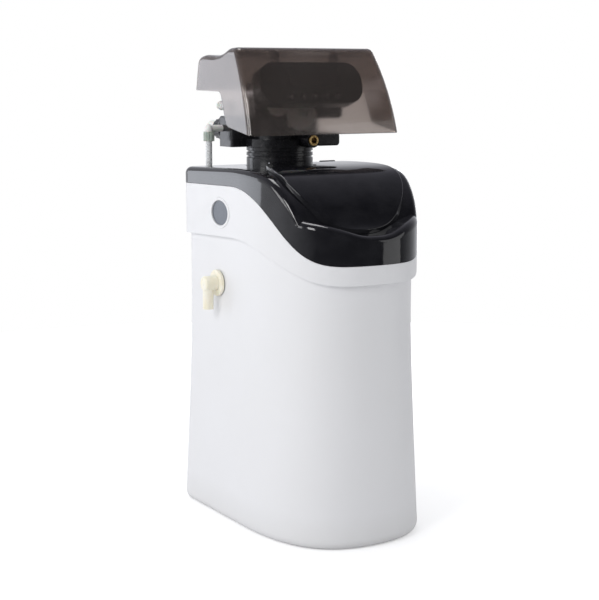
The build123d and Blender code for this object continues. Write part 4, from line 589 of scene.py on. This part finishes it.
floor_reach = 1.7
floor_corners = 96
glow_near = 0.4
glow_far = 1.0
floor_edge = []
for i in range(floor_corners):
    corner_angle = 2 * pi * i / floor_corners
    floor_edge.append((floor_reach * cos(corner_angle), floor_reach * sin(corner_angle), 0.0))
floor_mesh = bpy.data.meshes.new("floor")
floor_mesh.from_pydata(floor_edge, [], [tuple(range(floor_corners))])
floor = bpy.data.objects.new("floor", floor_mesh)
scene.collection.objects.link(floor)
floor_finish = plastic("floor_finish", (0.82, 0.82, 0.83), 0.9, Specular_IOR_Level=0.0)
tint(floor_finish, noise(floor_finish, 1.5), (0.82, 0.82, 0.83), (0.84, 0.84, 0.85))
rays = add_node(floor_finish, "ShaderNodeLightPath")
out_from_middle = add_node(floor_finish, "ShaderNodeVectorMath", operation="LENGTH")
join(floor_finish, place(floor_finish), out_from_middle.inputs[0])
glow = spread(floor_finish, out_from_middle.outputs["Value"], glow_near, glow_far, 0.4, 1.0)
lift = math(floor_finish, "MULTIPLY", glow, rays.outputs["Is Camera Ray"])
floor_shader = floor_finish.node_tree.nodes["Principled BSDF"]
floor_shader.inputs["Emission Color"].default_value = white
join(floor_finish, lift, floor_shader.inputs["Emission Strength"])
floor_mesh.materials.append(floor_finish)

# World: the camera, and a look straight through clear pieces, see white; reflections see a
# surround that darkens upwards and towards the front; everything else gets the soft light

soft_strength = 0.54
surround_low = (0.8, 0.81, 0.85, 1.0)
surround_high = (0.29, 0.285, 0.33, 1.0)
front_strength = 0.07
world = bpy.data.worlds.new("studio")
scene.world = world
world.use_nodes = True
world.node_tree.nodes.clear()
sky_rays = add_node(world, "ShaderNodeLightPath")
soft_light = add_node(world, "ShaderNodeBackground", Strength=soft_strength)
soft_light.inputs["Color"].default_value = (0.97, 0.98, 1.0, 1.0)
mirrored = add_node(world, "ShaderNodeBackground", Strength=1.0)
backdrop = add_node(world, "ShaderNodeBackground", Strength=1.0)
backdrop.inputs["Color"].default_value = white
direction = add_node(world, "ShaderNodeTexCoord")
direction_parts = add_node(world, "ShaderNodeSeparateXYZ")
join(world, direction.outputs["Generated"], direction_parts.inputs["Vector"])
horizon = add_node(world, "ShaderNodeValToRGB")
horizon.color_ramp.elements[0].position = 0.5
horizon.color_ramp.elements[0].color = surround_low
horizon.color_ramp.elements[1].position = 0.86
horizon.color_ramp.elements[1].color = surround_high
join(world, spread(world, direction_parts.outputs["Z"], -1.0, 1.0, 0.0, 1.0), horizon.inputs["Fac"])
join(world, horizon.outputs["Color"], mirrored.inputs["Color"])
join(world, spread(world, direction_parts.outputs["Y"], -0.5, 0.45, front_strength, 1.0),
     mirrored.inputs["Strength"])
gloss_mix = add_node(world, "ShaderNodeMixShader")
join(world, sky_rays.outputs["Is Glossy Ray"], gloss_mix.inputs["Fac"])
join(world, soft_light.outputs["Background"], gloss_mix.inputs[1])
join(world, mirrored.outputs["Background"], gloss_mix.inputs[2])
bounces = math(world, "ADD", sky_rays.outputs["Diffuse Depth"], sky_rays.outputs["Glossy Depth"])
straight_through = math(world, "MULTIPLY", sky_rays.outputs["Is Transmission Ray"],
                        math(world, "LESS_THAN", bounces, 0.5))
seen = math(world, "MAXIMUM", sky_rays.outputs["Is Camera Ray"], straight_through)
view_mix = add_node(world, "ShaderNodeMixShader")
join(world, seen, view_mix.inputs["Fac"])
join(world, gloss_mix.outputs["Shader"], view_mix.inputs[1])
join(world, backdrop.outputs["Background"], view_mix.inputs[2])
world_out = add_node(world, "ShaderNodeOutputWorld")
join(world, view_mix.outputs["Shader"], world_out.inputs["Surface"])


neutral = (1.0, 1.0, 1.0)


def lamp(name, place_at, aim, width, height, watts, colour=neutral):
    """A soft rectangular lamp, hidden from the camera."""
    light = bpy.data.lights.new(name, "AREA")
    light.shape = "RECTANGLE"
    light.size = width
    light.size_y = height
    light.energy = watts
    light.color = colour
    made = bpy.data.objects.new(name, light)
    made.location = place_at
    facing = Vector(aim) - Vector(place_at)
    made.rotation_euler = facing.to_track_quat("-Z", "Y").to_euler()
    made.visible_camera = False
    scene.collection.objects.link(made)


lamp("rear_left_softbox", (-1.495, 2.15, 0.72), (0.0, 0.0, 0.45), 1.19, 1.35, 9.5, (0.88, 0.92, 1.0))
lamp("left_wash", (-2.2, 0.05, 1.15), (0.0, 0.0, 0.4), 0.9, 1.0, 10.0)
lamp("key_strip", (-2.0, -1.0, 1.5), (0.0, -0.05, 0.4), 0.5, 1.2, 13.5)
lamp("right_panel", (1.72, -1.57, 0.8), (0.0, 0.0, 0.42), 1.0, 1.6, 4.6)
lamp("right_rear_strip", (1.45, 1.5, 0.55), (0.05, -0.1, 0.45), 0.12, 0.9, 1.5)
lamp("overhead", (0.1, 0.4, 2.4), (0.0, 0.0, 0.5), 0.9, 0.9, 11.0)
